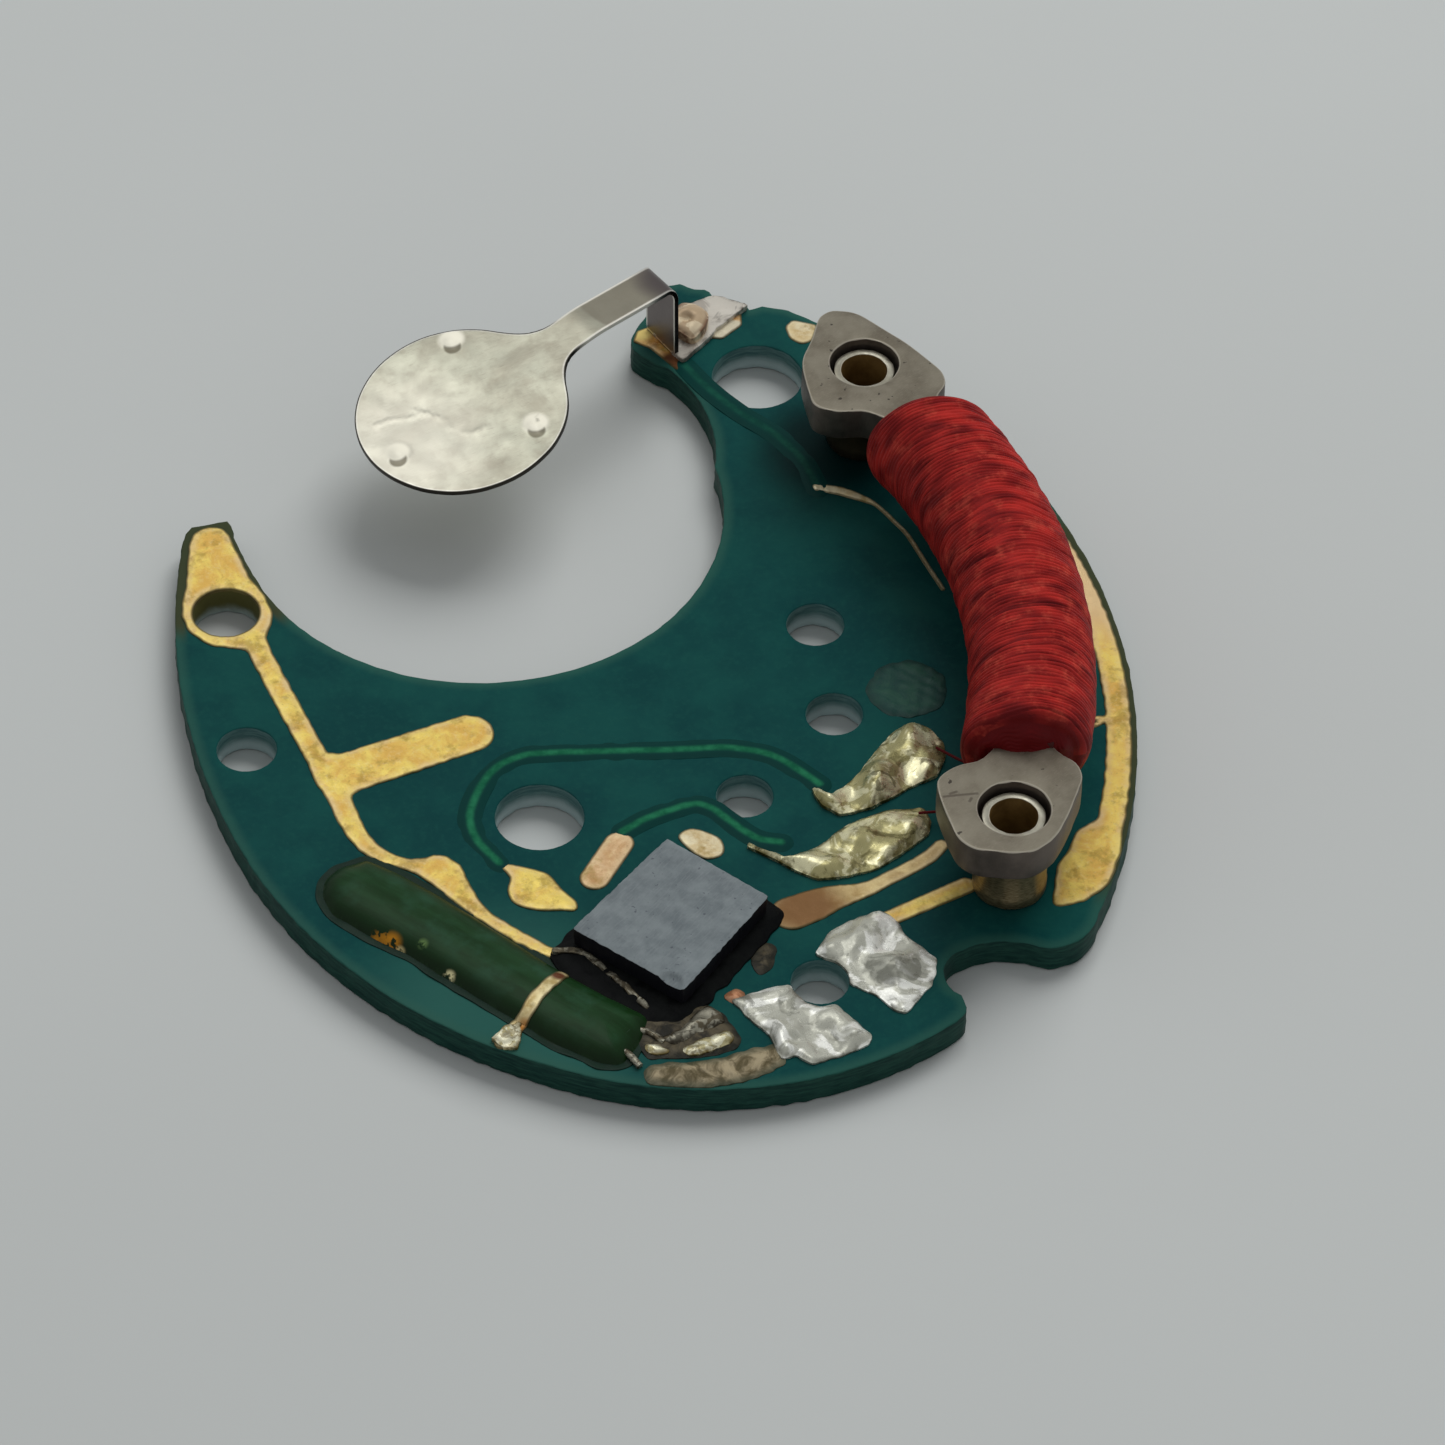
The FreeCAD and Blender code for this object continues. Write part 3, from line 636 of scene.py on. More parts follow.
def tube_material():
    """Nickel-plated turned brass, bronze down its sides and in the bore, with painted shade on the upper tube
    under its plate.
    """
    p = Paint("tube_metal")
    ring, cloud = p.noise(0.1, 3, 0.5, stretch=(1, 1, 0.17)), p.noise(0.5)
    bronze = p.mix(p.ramp(ring), (116, 100, 72), (156, 140, 108))
    # upper tube darkened under its end plate: painted shade
    bronze = p.mix(p.near((*TUBES[1], 1.2), 1.1, 0.3), bronze, (60, 54, 40))
    bore = p.ramp(p.edge, 0.4, 0.6)
    p.base(cloud, (190, 184, 164), (216, 212, 194))
    p.over(p.side(0.3, 0.8), p.mix(bore, bronze, p.mix(p.ramp(cloud), (92, 68, 32), (124, 98, 54))))
    p.bump(ring, 0.006)
    return p.done(p.ramp(ring, start=0.3, end=0.45), p.math("SUBTRACT", 0.9, p.times(bore, 0.8)))


def chip_material():
    """Back of a silicon die: fine grey grain, faint saw lines and a few dark specks."""
    p = Paint("chip_silicon")
    saw = p.noise(0.1, 3, stretch=(3, 0.35, 1), turn=CHIP_TURN)
    p.base(p.noise(0.5, 5, 0.65), (102, 110, 113), (124, 132, 134))
    p.over(p.ramp(saw, 0.45, 0.75), (134, 140, 142), 0.4)
    p.over(p.ramp(p.noise(0.09, 2, 0.5), 0.68, 0.74), (60, 64, 74), 0.6)
    p.over(p.side(0.3, 0.8), (14, 14, 20))
    p.bump(saw, 0.01)
    return p.done(0.55, Specular_IOR_Level=0.2)


def resin_material():
    p = Paint("potting_resin")
    cloud = p.noise(0.4)
    p.base(cloud, (4, 5, 6), (16, 18, 17), 0.35)
    p.bump(cloud, 0.05)
    return p.done(p.ramp(cloud, start=0.4, end=0.6), Specular_IOR_Level=0.08)


def crystal_material():
    """Metal can under thick green lacquer, streaked and stained, with painted shade at its edges and a
    painted glint.
    """
    p = Paint("crystal_lacquer")
    streak, cloud = p.noise(0.45, stretch=(3, 0.5, 1), turn=CAN_TURN), p.noise(0.9)
    blot = p.ramp(p.noise(0.22, 3), 0.42, 0.5)
    p.base(streak, (16, 46, 16), (26, 60, 30))
    p.over(p.ramp(cloud, 0.45), (38, 76, 54), 0.6)
    # darker towards the can's edges: painted shade of the groove
    p.over(p.fade(p.edge, 0.08, 0.45), (14, 36, 10), 0.85)
    for place, radius, shade in CAN_STAINS_AND_GLINT:
        p.over(p.times(p.near(place, radius * 0.3, radius), blot), shade)
    p.bump(streak, 0.012, 0.4)
    return p.done(p.ramp(cloud, start=0.3, end=0.42), Specular_IOR_Level=0.16)


def varnish_material(name, low, high, rim_shade, size=0.5):
    """Lacquer or flux that has run into a thin film."""
    p = Paint(name)
    cloud = p.noise(size, 5, 0.65, 0.8)
    p.base(cloud, low, high, 0.36, 0.64)
    p.over(p.fade(p.edge, 0.0, 0.22), rim_shade, 0.8)
    p.bump(cloud, 0.03)
    return p.done(0.4, Specular_IOR_Level=0.25)


def spring_material():
    """Satin plated strip with warm stains, a painted reflection on the disc, painted highlights and shadows
    on the pips, painted shade by the fold, on the riser and along the disc and riser edges, and a painted
    highlight on the arm's rim.
    """
    p = Paint("spring_strip")
    cloud, blot = p.noise(1.3, 6, 0.62, 0.5), p.noise(0.35)
    scratch = p.noise(0.07, 2, 0.5, stretch=(4, 0.25, 1), turn=0.2)
    p.base(cloud, (184, 179, 160), (212, 211, 190), 0.32, 0.68)
    p.over(p.ramp(blot, 0.5, 0.72), (178, 166, 146), 0.3)
    p.over(p.ramp(scratch, 0.64, 0.74), (150, 140, 120), 0.4)
    # painted reflection: lighter across the disc
    p.over(p.near((-9.7, 13.0, 2.0), 0.5, 2.2), (255, 250, 232), 0.6)
    # painted highlights on the pips: white caps on their far sides
    matte = 0.0
    for x, y in PIPS:
        pip_highlight = p.near((x, y + 0.06, disc_height(x, y)), 0.2, 0.14)
        matte = p.math("MAXIMUM", matte, p.times(pip_highlight, p.ramp(blot, 0.24, 0.4)))
    p.over(matte, (255, 250, 230))
    # painted shadow: dark crescents below the pips
    for x, y in PIPS:
        below = p.near((x - 0.02, y - 0.16, disc_height(x, y)), 0.15, 0.06)
        crown = p.near((x, y + 0.03, disc_height(x, y)), 0.18, 0.06)
        p.over(p.times(below, p.math("SUBTRACT", 1.0, crown)), (104, 98, 80), 0.85)
    # arm and riser by the fold painted darker: painted shade for their dimmer reflection
    p.over(p.near(FOLD, 2.05, 0.1), (168, 160, 142), 0.75)
    # riser painted dark grey: painted shade on its face
    riser = p.near(RISER_FOOT + Vector((0, 0, 0.7)), 1.0, 0.35)
    p.over(riser, (112, 104, 102))
    by_disc = p.near(DISC_CENTRE, 2.6, 0.5)
    # painted highlight along the strip's rim
    rim = p.fade(p.edge, 0.03, 0.07)
    p.over(rim, (248, 246, 236), 0.6)
    arm = p.math("SUBTRACT", 1.0, p.math("MAXIMUM", by_disc, riser))
    matte = p.math("MAXIMUM", matte, p.times(rim, arm))
    # painted shade: dark outline along the disc's edge
    p.over(p.times(p.fade(p.edge, 0.018, 0.036), by_disc), (52, 48, 42))
    # painted shade: dark line along the riser's edges
    p.over(p.times(p.fade(p.edge, 0.002, 0.008), riser), (30, 26, 26))
    p.bump(cloud, 0.02, 0.3)
    p.bump(scratch, 0.005, 0.4)
    return p.done(p.ramp(blot, start=0.28, end=0.4), p.math("SUBTRACT", 0.9, p.times(matte, 0.8)))


def plain_material(name, low, high, roughness, metallic=0.0, **extra):
    """A worn two-tone finish for parts that sit inside."""
    p = Paint(name)
    cloud = p.noise(0.4)
    p.base(cloud, low, high)
    p.bump(cloud, 0.01, 0.4)
    return p.done(p.ramp(cloud, 0.2, 0.8, roughness - 0.05, roughness + 0.1), metallic, **extra)


def floor_material():
    p = Paint("floor_paper")
    p.base(p.noise(40, 3, 0.5), (190, 193, 191), (194, 197, 195))
    p.bump(p.noise(0.6, 2, 0.5), 0.01, 0.2)
    return p.done(0.75, Specular_IOR_Level=0.15)


def dress(obj, material, slot, nodes=(), body="module"):
    """Gives a piece its finish and body, and lets it stand for CAD nodes."""
    obj.data.materials.clear()
    obj.data.materials.append(material)
    if body:
        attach(obj, body)
    if nodes:
        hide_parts(*nodes)
    return obj


def piece(look, name, region, cell, bottom, top, bevel=0.015, **more):
    """A relief with its look: material, slot (not used) and the CAD nodes it stands for."""
    return dress(relief(name, region, cell, bottom, top, bevel, **more), *look)


# ---- board ----
def board_outline():
    """The crescent's edge, anticlockwise from the coil end of the rim."""
    rim_low, rim_high = (1.494, -1.147), (-0.632, 16.819)
    nest_right, nest_left = (-3.14, 12.48), (-12.8, 10.8)
    side_low, foot_left, lobe = (-14.27, 3.19), (-9.55, -2.91), (-1.81, -3.27)
    notch_high, notch_right = (-1.46, -1.58), (0.24, -1.78)
    contact_end = path("""-1.2 17.07 -1.4 16.95 -1.46 17.2 -1.81 17.44 -2.09 17.56 -2.13 17.76 -2.47 17.84
        -2.69 18.06 -2.9 18.02 -3.04 18.05 -3.14 17.86 -3.47 17.36 -3.8 16.96 -4.04 16.62 -4.1 16.28
        -3.97 16.05 -3.7 15.72""")
    horn_tip = path("-13 11.67 -13.1 12.34 -13.1 12.82 -13.2 12.86 -13.55 12.82 -13.93 12.8 -14.06 12.68")
    return polygon([
        *arc(rim_low, (3.82, 6.58), rim_high), rim_high, *contact_end,
        *arc((-3.49, 15.54), (-2.97, 13.98), nest_right), *arc(nest_right, (-8.3, 7.26), nest_left),
        nest_left, *horn_tip, *arc((-14.16, 12.4), (-14.88, 7.68), side_low),
        *arc(side_low, (-12.21, -0.62), foot_left), *arc(foot_left, (-5.61, -4.17), lobe), lobe,
        (-1.6, -3.1), (-1.54, -2.92), *arc((-1.56, -2.64), (-1.78, -2.07), notch_high),
        *arc(notch_high, (-0.69, -1.42), notch_right), *arc(notch_right, (1.02, -1.68), rim_low)])


BOARD = board_outline()
CAN = rounded(path("""-13.1 2.22 -12.98 2.62 -12.66 2.9 -12.05 3.02 -11.46 2.48 -10.86 1.82
    -9.97 0.72 -9.06 -0.44 -8.35 -1.22 -7.58 -1.98 -7.52 -2.16 -7.72 -2.52 -8.22 -3.1 -8.4 -3.14
    -8.76 -2.98 -9.48 -2.34 -10.06 -1.64 -10.5 -1.13 -11.09 -0.41 -11.75 0.4 -12.37 0.97 -13 1.74"""),
    0.12, 3)


def make_board(lacquer):
    outline = BOARD.wobbled(0.006, 0.5, 11)
    region = outline
    for x, y, r in [*HOLES.values(), *[(*place, TUBE_NECK_R) for place in TUBES]]:
        region = region.without(round_region((x, y), r))

    def top(x, y, depth):
        swell = 0.006 * waves(x, y, 2.2, 21) + 0.003 * waves(x, y, 0.7, 22)
        return BOARD_TOP + swell - 0.02 * np.exp(-depth / 0.12)
    piece((lacquer, "board", ["circuit_board"]), "board_lacquered", region.without(CAN.grown(-0.06)),
          0.14, 0.0, top, 0.05, low_bevel=0.03, rough=0.01, walls=5, outer=outline)


def make_covered_traces(material, faint):
    """Low ridges where traces run under the lacquer."""
    routes = {
        "loop": """-9.57 2.43 -9.86 3.05 -9.92 3.55 -9.82 3.98 -9.5 4.55 -9.13 4.95 -8.7 5.13
            -8.26 5.16 -7 4.97 -5.68 4.75 -4.7 4.62 -4.21 4.46 -3.85 4.28 -3.59 4.05 -3.33 3.72
            -3.02 3.28""",
        "chip": """-7.07 2.77 -6.55 3.02 -6.06 3.15 -5.7 3.22 -5.43 3.2 -5.2 3.02 -5.02 2.75
            -4.56 2.12 -4.1 1.9""",
        "horn": "-3.13 15.56 -2.73 14.64 -2.25 13.85 -1.74 13.17 -1.35 12.3 -1.21 11.4",
    }

    def top(x, y, depth):
        rise = np.clip(depth / 0.14, 0, 1)
        rise = rise * rise * (3 - 2 * rise)
        return BOARD_TOP + 0.003 + 0.024 * rise + 0.003 * waves(x, y, 0.5, 31)
    for name, route in routes.items():
        region = strip(smooth(path(route), 4), 0.5)
        stands_for = ["covered_traces"] if name == "loop" else ()
        look = (faint if name == "horn" else material, "covered_trace", stands_for)
        piece(look, "covered_trace_" + name, region, 0.045, BOARD_TOP - 0.05, top, 0.01)


# ---- plated tracks ----
def trunk_region():
    """Horn pad with its ring, the long trunk and its side branch, down to the chip."""
    pad = rounded(path("""-14.02 12.34 -13.85 12.64 -13.57 12.7 -13.26 12.6 -13.19 12.28
        -13.09 11.69 -12.99 11.06 -12.81 10.64 -12.7 10.01 -12.8 9.67 -12.96 9.47 -13.51 9.13
        -14.11 9.37 -14.46 9.84 -14.52 10.3 -14.45 10.62 -14.29 11.18 -14.14 11.86"""), 0.15)
    trunk = strip(smooth(path("""-13.22 9.4 -13.05 8.45 -12.82 7.26 -12.59 6.18 -12.33 4.88
        -12.2 4.05 -12 3.38 -11.68 2.98 -11.42 2.8"""), 3),
                  [0.47] * 15 + [0.45, 0.42, 0.4, 0.38, 0.36, 0.33, 0.3, 0.28, 0.26, 0.24])
    bulge = loop(path("""-11.95 3.4 -11.45 2.98 -11.05 2.85 -10.66 2.88 -10.32 2.52 -10.2 1.85
        -10.02 1.28 -9.68 0.82 -9.3 0.4 -8.93 0.02 -8.5 -0.2 -8.56 -0.34 -9.05 -0.2 -9.52 0.19
        -9.9 0.62 -10.26 1.08 -10.6 1.55 -10.83 1.94 -11.19 2.45 -11.6 2.82"""), 3)
    branch = strip([(-12.05, 5.38), (-9.51, 5.96)], [1.08, 1.02])
    x, y, r = HOLES["horn"]
    region = pad.joined(trunk, 0.25).joined(branch, 0.3).joined(bulge, 0.1)
    return region.wobbled(0.008, 0.35, 41).without(round_region((x, y), r + 0.01))


def rim_region():
    """The track along the outer rim, with its end pad and two small spurs."""
    x, y, r = -10.18, 6.58, 13.63
    sweep = np.radians(np.linspace(-29, 16.5, 30))
    widths = np.interp(np.linspace(0, 1, 30), [0, 0.25, 0.6, 0.85, 1], [0.56, 0.52, 0.5, 0.42, 0.2])
    rim = strip([(x + r * cos(a), y + r * sin(a)) for a in sweep], widths)
    pad = rounded(path("""2.02 1.2 2.32 0.3 1.95 -0.25 1.5 -0.74 0.62 -0.84 0.86 -0.2 1.02 0.29
        1.34 0.6 1.6 1.1"""), 0.3)
    spur = strip(path("3.25 3.95 2.95 3.9 2.6 4.02"), [0.26, 0.16, 0.1])
    fork = strip([(2.95, 3.9), (2.62, 3.76)], [0.14, 0.1])
    return rim.joined(pad, 0.4).joined(spur, 0.15).joined(fork)


def make_tracks(finishes):
    """Each bare plated area: its region, the CAD node it stands for and its finish."""
    board_edge = BOARD.grown(-0.04)
    chip_side = strip(smooth(path("""-4.3 0.04 -3.85 0.16 -3.47 0.27 -3 0.33 -2.65 0.4 -2.3 0.55
        -1.87 0.72 -1.37 0.96 -1.06 1.22"""), 2),
                      [0.84, 0.82, 0.8, 0.74, 0.66, 0.56, 0.46, 0.4, 0.36, *[0.34] * 6, 0.32, 0.3])
    coil_bed = strip(smooth(path("""-1.2 11.44 -0.75 11.23 -0.29 10.87 -0.1 10.62 0.09 10.19
        0.28 9.72 0.44 8.93 0.62 8.09"""), 3), [*[0.24] * 5, 0.2, 0.16, 0.12, *[0.1] * 14])
    tracks = {
        "trunk": (trunk_region().within(board_edge), "cell_contact_track", "gold"),
        "bulb": (loop(path("""-9.6 2.42 -9.28 2.32 -8.98 2.16 -8.68 1.94 -8.5 1.5 -8.3 1.14
            -8.36 0.92 -8.62 0.98 -9.07 1.07 -9.48 1.32 -9.55 1.7 -9.44 2.02"""),
            3), "oscillator_track", "gold"),
        "capsule": (strip([(-7.19, 2.49), (-7.83, 1.68)], 0.6), "capsule_track", "pink"),
        "chip_corner": (loop(path("-6.03 2.4 -5.8 2.6 -5.54 2.52 -5.22 2.2 -5.28 1.8 -5.7 1.8"),
            4), "chip_corner_pad", "cream"),
        "chip_side": (chip_side, "chip_side_track", "tan"),
        "stub": (strip([(-2.6, -0.49), (-0.84, 0.09)], [0.38, 0.42]), "stub_track", "gold"),
        "rim": (rim_region().within(board_edge).wobbled(0.01, 0.3, 43), "rim_track", "gold"),
        "coil_bed": (coil_bed, "coil_bed_track", "cream"),
        "horn": (rounded(path("""-4.02 16.45 -3.88 16.74 -3.66 16.82 -3.42 16.62 -2.6 16.95
            -2.05 17.26 -1.6 16.98 -1.68 16.5 -2.17 16.17 -2.4 16.24 -3.1 15.66 -3.3 15.4
            -3.72 16.18"""), 0.06).within(board_edge), "spring_pad", "orange"),
        "upper": (rounded(path("""-0.8 15.9 -0.59 15.68 -0.34 15.74 -0.12 16.2 -0.62 16.46
            -0.82 16.28"""), 0.1), "upper_pad", "cream"),
    }

    def top(x, y, depth):
        crown = (TRACK_TOP - BOARD_TOP) * (1 - 0.5 * np.exp(-depth / 0.06))
        return BOARD_TOP + crown + 0.004 * waves(x, y, 0.35, 51) + 0.003 * waves(x, y, 0.13, 52)
    for name, (region, node, finish) in tracks.items():
        cell = 0.03 if name == "coil_bed" else 0.055
        piece((finishes[finish], "gold", [node]), "gold_" + name, region, cell, BOARD_TOP - 0.06, top, 0.012)


# ---- coil ----
def make_core(material):
    """Both drilled end plates and the bar between them."""
    coil_side = path("""-1.68 0.2 -1.4 0.72 -0.92 0.9 -0.72 1.13 -0.3 1.42 0.3 1.6 0.72 1.62
        0.98 1.3""")
    far_sides = [path("1.03 0.2 0.98 -0.45 0.72 -0.95 0.29 -1.14 -0.41 -1.3 -0.8 -1.1 -1.4 -0.3"), path("""
        1.06 0.2 0.97 -1.2 0.62 -1.6 0.3 -1.62 -0.3 -1.22 -0.89 -0.95 -1.3 -0.4""")]
    x, y = COIL_CENTRE
    region = strip([(x + WINDING_ARC_R * cos(a), y + WINDING_ARC_R * sin(a))
                    for a in np.linspace(-TUBE_TURN * 0.9, TUBE_TURN * 0.9, 24)], 0.8)
    for side, centre, far_side in zip((1, -1), TUBES, far_sides):
        c, s = cos(-side * TUBE_TURN), sin(-side * TUBE_TURN)
        outline = [(centre[0] + r * c - t * side * s, centre[1] + r * s + t * side * c)
                   for r, t in coil_side + far_side]
        region = region.joined(rounded(outline, 0.28), 0.9)
    for centre in TUBES:
        region = region.without(round_region(centre, PLATE_HOLE_R))

    def top(x, y, depth):
        return PLATE_HIGH - 0.01 * np.exp(-depth / 0.1) + 0.003 * waves(x, y, 0.9, 61)
    piece((material, "core_alloy", ["coil_core"]), "coil_core_plates", region, 0.08, PLATE_LOW, top, 0.04,
          low_bevel=0.02, rough=0.004, walls=3)


def make_winding(material):
    """The winding as a wound surface: every turn is a ridge, with stray raised strands."""
    pitch = 0.085
    wire_height = 0.026
    end_r = 0.3
    around = 96
    samples_per_turn = 8
    turns_drawn = 400
    strays = 130
    cap_rings = 30
    length = (WINDING_ENDS[1] - WINDING_ENDS[0]) * WINDING_ARC_R
    rows = int(length / pitch * samples_per_turn)
    along = np.linspace(0, length, rows)[:, None]
    phi = (np.arange(around) * TAU / around)[None, :]
    girth = WINDING_R * phi
    rng = np.random.default_rng(7)

    sway = 0.045 * waves(along, girth, 1.9, 71) + 0.016 * waves(along, girth, 0.6, 72)
    turn = (along + sway) / pitch + phi / TAU
    ridge = np.sqrt(np.abs(np.cos(pi * turn)))
    index = np.floor(turn + 0.5).astype(int) % turns_drawn
    lift = rng.uniform(-1, 1, turns_drawn)[index]
    # worn marks patches where the painted shade between the turns is weaker
    worn = np.clip(0.5 + 0.8 * waves(along * 1.6, girth, 0.8, 76), 0, 1)
    tone = 0.5 + 0.2 * rng.uniform(-1, 1, turns_drawn)[index]
    tone = tone + 0.16 * waves(along * 1.8, girth, 1.1, 73) + 0.15 * waves(along * 4, girth, 0.9, 77)
    height = (wire_height + 0.006 * lift) * ridge + 0.01 * waves(along * 2.2, girth, 1.3, 74)
    ridge = ridge * (1 - 0.5 * worn) + 0.5 * worn

    for _ in range(strays):
        middle = rng.uniform(0.2, length - 0.2)
        start = rng.uniform(0, TAU)
        reach = rng.uniform(0.15, 0.9)
        slant = rng.uniform(-0.3, 0.3)
        gap = (phi - start + pi) % TAU - pi
        share = np.clip(1.2 - np.abs(gap) / reach, 0, 1)
        strand = np.exp(-((along - middle - slant * gap) / 0.035) ** 2) * np.minimum(share * 3, 1)
        strand = strand * rng.uniform(-0.028, 0.024)
        height = height + 0.6 * strand
        ridge = np.clip(ridge + 20 * strand, 0, 1)
        tone = tone + 8 * strand

    def placed(radius, theta):
        across = WINDING_ARC_R + radius * np.cos(phi)
        return np.stack([(COIL_CENTRE[0] + across * np.cos(theta)).ravel(),
                         (COIL_CENTRE[1] + across * np.sin(theta)).ravel(),
                         (COIL_Z + radius * np.sin(phi)).ravel()], 1)

    tuck = np.clip(end_r - np.minimum(along, length - along), 0, end_r)
    radius = WINDING_R - wire_height - end_r + np.sqrt(end_r ** 2 - tuck ** 2) + height
    first, last = [end + slant * np.cos(phi) for end, slant in zip(WINDING_ENDS, WINDING_SLANT)]
    points = [placed(radius, first + along / length * (last - first))]
    turns = [ridge.ravel()]
    # tone lowered towards the rounded ends: painted shade
    tones = [(tone - 0.5 * tuck / end_r).ravel()]
    ids = np.arange(rows * around).reshape(rows, around)
    after = np.roll(ids, -1, 1)
    faces = np.stack([ids[:-1], ids[1:], after[1:], after[:-1]], -1).reshape(-1, 4).tolist()

    base = rows * around
    for end, row, level in ((-1, 0, first), (1, -1, last)):
        shares = np.linspace(1, 0.34, cap_rings + 1)[1:, None]
        cap_r = radius[row][None, :] * shares
        layer = np.abs(np.cos(pi * (cap_r / pitch + phi / TAU + 0.8 * waves(cap_r, girth, 1.2, 79))))
        bulge = 0.016 * layer + 0.045 * waves(cap_r * np.cos(phi), cap_r * np.sin(phi), 0.7, 76 + end)
        bulge = bulge * np.clip((1 - shares) / 0.12, 0, 1) + 0.3 * (1 - shares ** 2)
        level = level * shares + WINDING_ENDS[(end + 1) // 2] * (1 - shares)
        points.append(placed(cap_r, level + end * bulge / WINDING_ARC_R))
        # end caps: rings partly darkened and a low tone, both painted shade
        turns.append((0.35 + 0.3 * layer).ravel())
        tones.append(np.full(cap_r.size, -0.1))
        previous = ids[row]
        for ring in range(cap_rings):
            current = base + ring * around + np.arange(around)
            quads = np.stack([previous, current, np.roll(current, -1), np.roll(previous, -1)], 1)
            faces += quads[:, ::end].tolist()
            previous = current
        faces.append(previous[::end].tolist())
        base += cap_rings * around
    winding = solid("coil_winding_turns", np.concatenate(points), faces, 80,
                    {"turn": np.concatenate(turns), "tone": np.concatenate(tones)})
    dress(winding, material, "winding", ["coil_winding"])


def make_wire(name, line, radius, material, slot, nodes, sides=10):
    """A round wire along a line of 3-D points, with closed ends."""
    points, faces = [], []
    for i, here in enumerate(line):
        ahead = (line[min(i + 1, len(line) - 1)] - line[max(i - 1, 0)]).normalized()
        side = ahead.cross(Vector((0, 0, 1))).normalized()
        lift = side.cross(ahead)
        for k in range(sides):
            turn = TAU * k / sides
            points.append(here + side * (radius * cos(turn)) + lift * (radius * sin(turn)))
            if i:
                a, b = (i - 1) * sides + k, (i - 1) * sides + (k + 1) % sides
                faces.append([a, b, b + sides, a + sides])
    faces.append(list(range(sides))[::-1])
    faces.append([(len(line) - 1) * sides + k for k in range(sides)])
    ones = np.ones(len(points))
    marks = {"turn": ones * 0.1, "tone": ones * 0, "edge": ones}
    dress(solid(name, [tuple(point) for point in points], faces, 60, marks), material, slot, nodes)


def make_wire_ends(material):
    """Fine wires that drop from the coil to their two solder joints."""
    routes = [
        [(0.55, 2.2, 1.5), (0.25, 2.55, 1.1), (-0.15, 3.05, 0.92), (-0.6, 3.6, 0.86)],
        [(0.45, 1.9, 1.6), (0.0, 1.8, 1.15), (-0.6, 1.85, 0.92), (-1.35, 1.95, 0.86)],
    ]
    for number, route in enumerate(routes):
        make_wire(f"coil_lead_wire_{number}", smooth(route, 8), 0.028, material, "winding",
                  () if number else ["coil_wire_ends"])


def make_tubes(material):
    """Turned screw tubes: flange under the board, body up to the plate, neck through it."""
    c = 0.03
    bore, neck, body = TUBE_BORE_R, TUBE_NECK_R - 0.004, TUBE_BODY_R
    waist = body - 0.015
    profile = [
        (bore + c, 0.0), (neck - c, 0.0), (neck, c), (neck, BOARD_TOP - 0.01), (body - c, BOARD_TOP + 0.002),
        (body, BOARD_TOP + c), (body, BOARD_TOP + 0.25), (waist, BOARD_TOP + 0.28), (waist, PLATE_LOW - 0.12),
        (body, PLATE_LOW - 0.09), (body, PLATE_LOW - c), (body - c, PLATE_LOW - 0.002), (neck, PLATE_LOW),
        (neck, TUBE_TOP - c), (neck - 0.01, TUBE_TOP - 0.008), (neck - c, TUBE_TOP), (bore + c, TUBE_TOP),
        (bore + 0.01, TUBE_TOP - 0.01), (bore, TUBE_TOP - c), (bore, 1.2), (bore, c)]
    marks = [1.0 if radius <= bore + 0.01 else 0.0 for radius, _ in profile]
    for name, place in zip(("lower_tube", "upper_tube"), TUBES):
        dress(lathe(name + "_turned", profile, place, marks), material, "tube", [name])


# ---- chip and crystal ----
def make_chip(silicon, resin, trace):
    """Face-down die in dark resin that has run towards the crystal, where the pool also stands in for the
    die's shadow, with a trace over it.
    """
    def top(x, y, depth):
        chipped = 0.1 * np.clip(1 - np.hypot(x + 7.1, y + 1.75) / 0.28, 0, 1) ** 0.5
        return CHIP_HIGH - chipped - 0.012 * np.exp(-depth / 0.05) + 0.0025 * waves(x, y, 0.3, 82)
    region = rounded(path("-8.62 0 -6.86 -1.97 -4.75 0.08 -6.36 1.96"), 0.05).wobbled(0.007, 0.22, 81)
    piece((silicon, "chip", ["chip"]), "chip_die", region, 0.05, CHIP_LOW - 0.02, top, 0.016, rough=0.012,
          walls=3)

    # resin pool: real underfill, and painted shadow where it runs out towards the crystal
    def pool_top(x, y, depth):
        return BOARD_TOP + 0.03 + 0.1 * np.clip(depth / 0.3, 0, 1) ** 0.6 + 0.008 * waves(x, y, 0.4, 84)
    region = loop(path("""-8.98 0.02 -9.02 -0.5 -8.67 -1.18 -8.1 -1.95 -7.6 -2.24 -6.85 -2.28
        -6.2 -1.76 -5.55 -1.15 -4.62 -0.25 -4.52 0.2 -5.2 1.05 -6.2 2.14 -6.6 2.05 -7.6 1.15"""),
        4).wobbled(0.025, 0.6, 83)
    piece((resin, "resin", ["chip_resin"]), "chip_underfill", region, 0.07, BOARD_TOP - 0.04, pool_top, 0.02)

    region = strip(smooth(path("-8.98 -0.12 -8.51 -0.25 -8.16 -0.75 -7.83 -1.33 -7.55 -1.88"),
        3), 0.14).wobbled(0.01, 0.3, 85)
    piece((trace, "gold"), "chip_edge_trace", region, 0.035, BOARD_TOP,
          lambda x, y, d: BOARD_TOP + 0.15 + 0.02 * waves(x, y, 0.4, 86), 0.02)


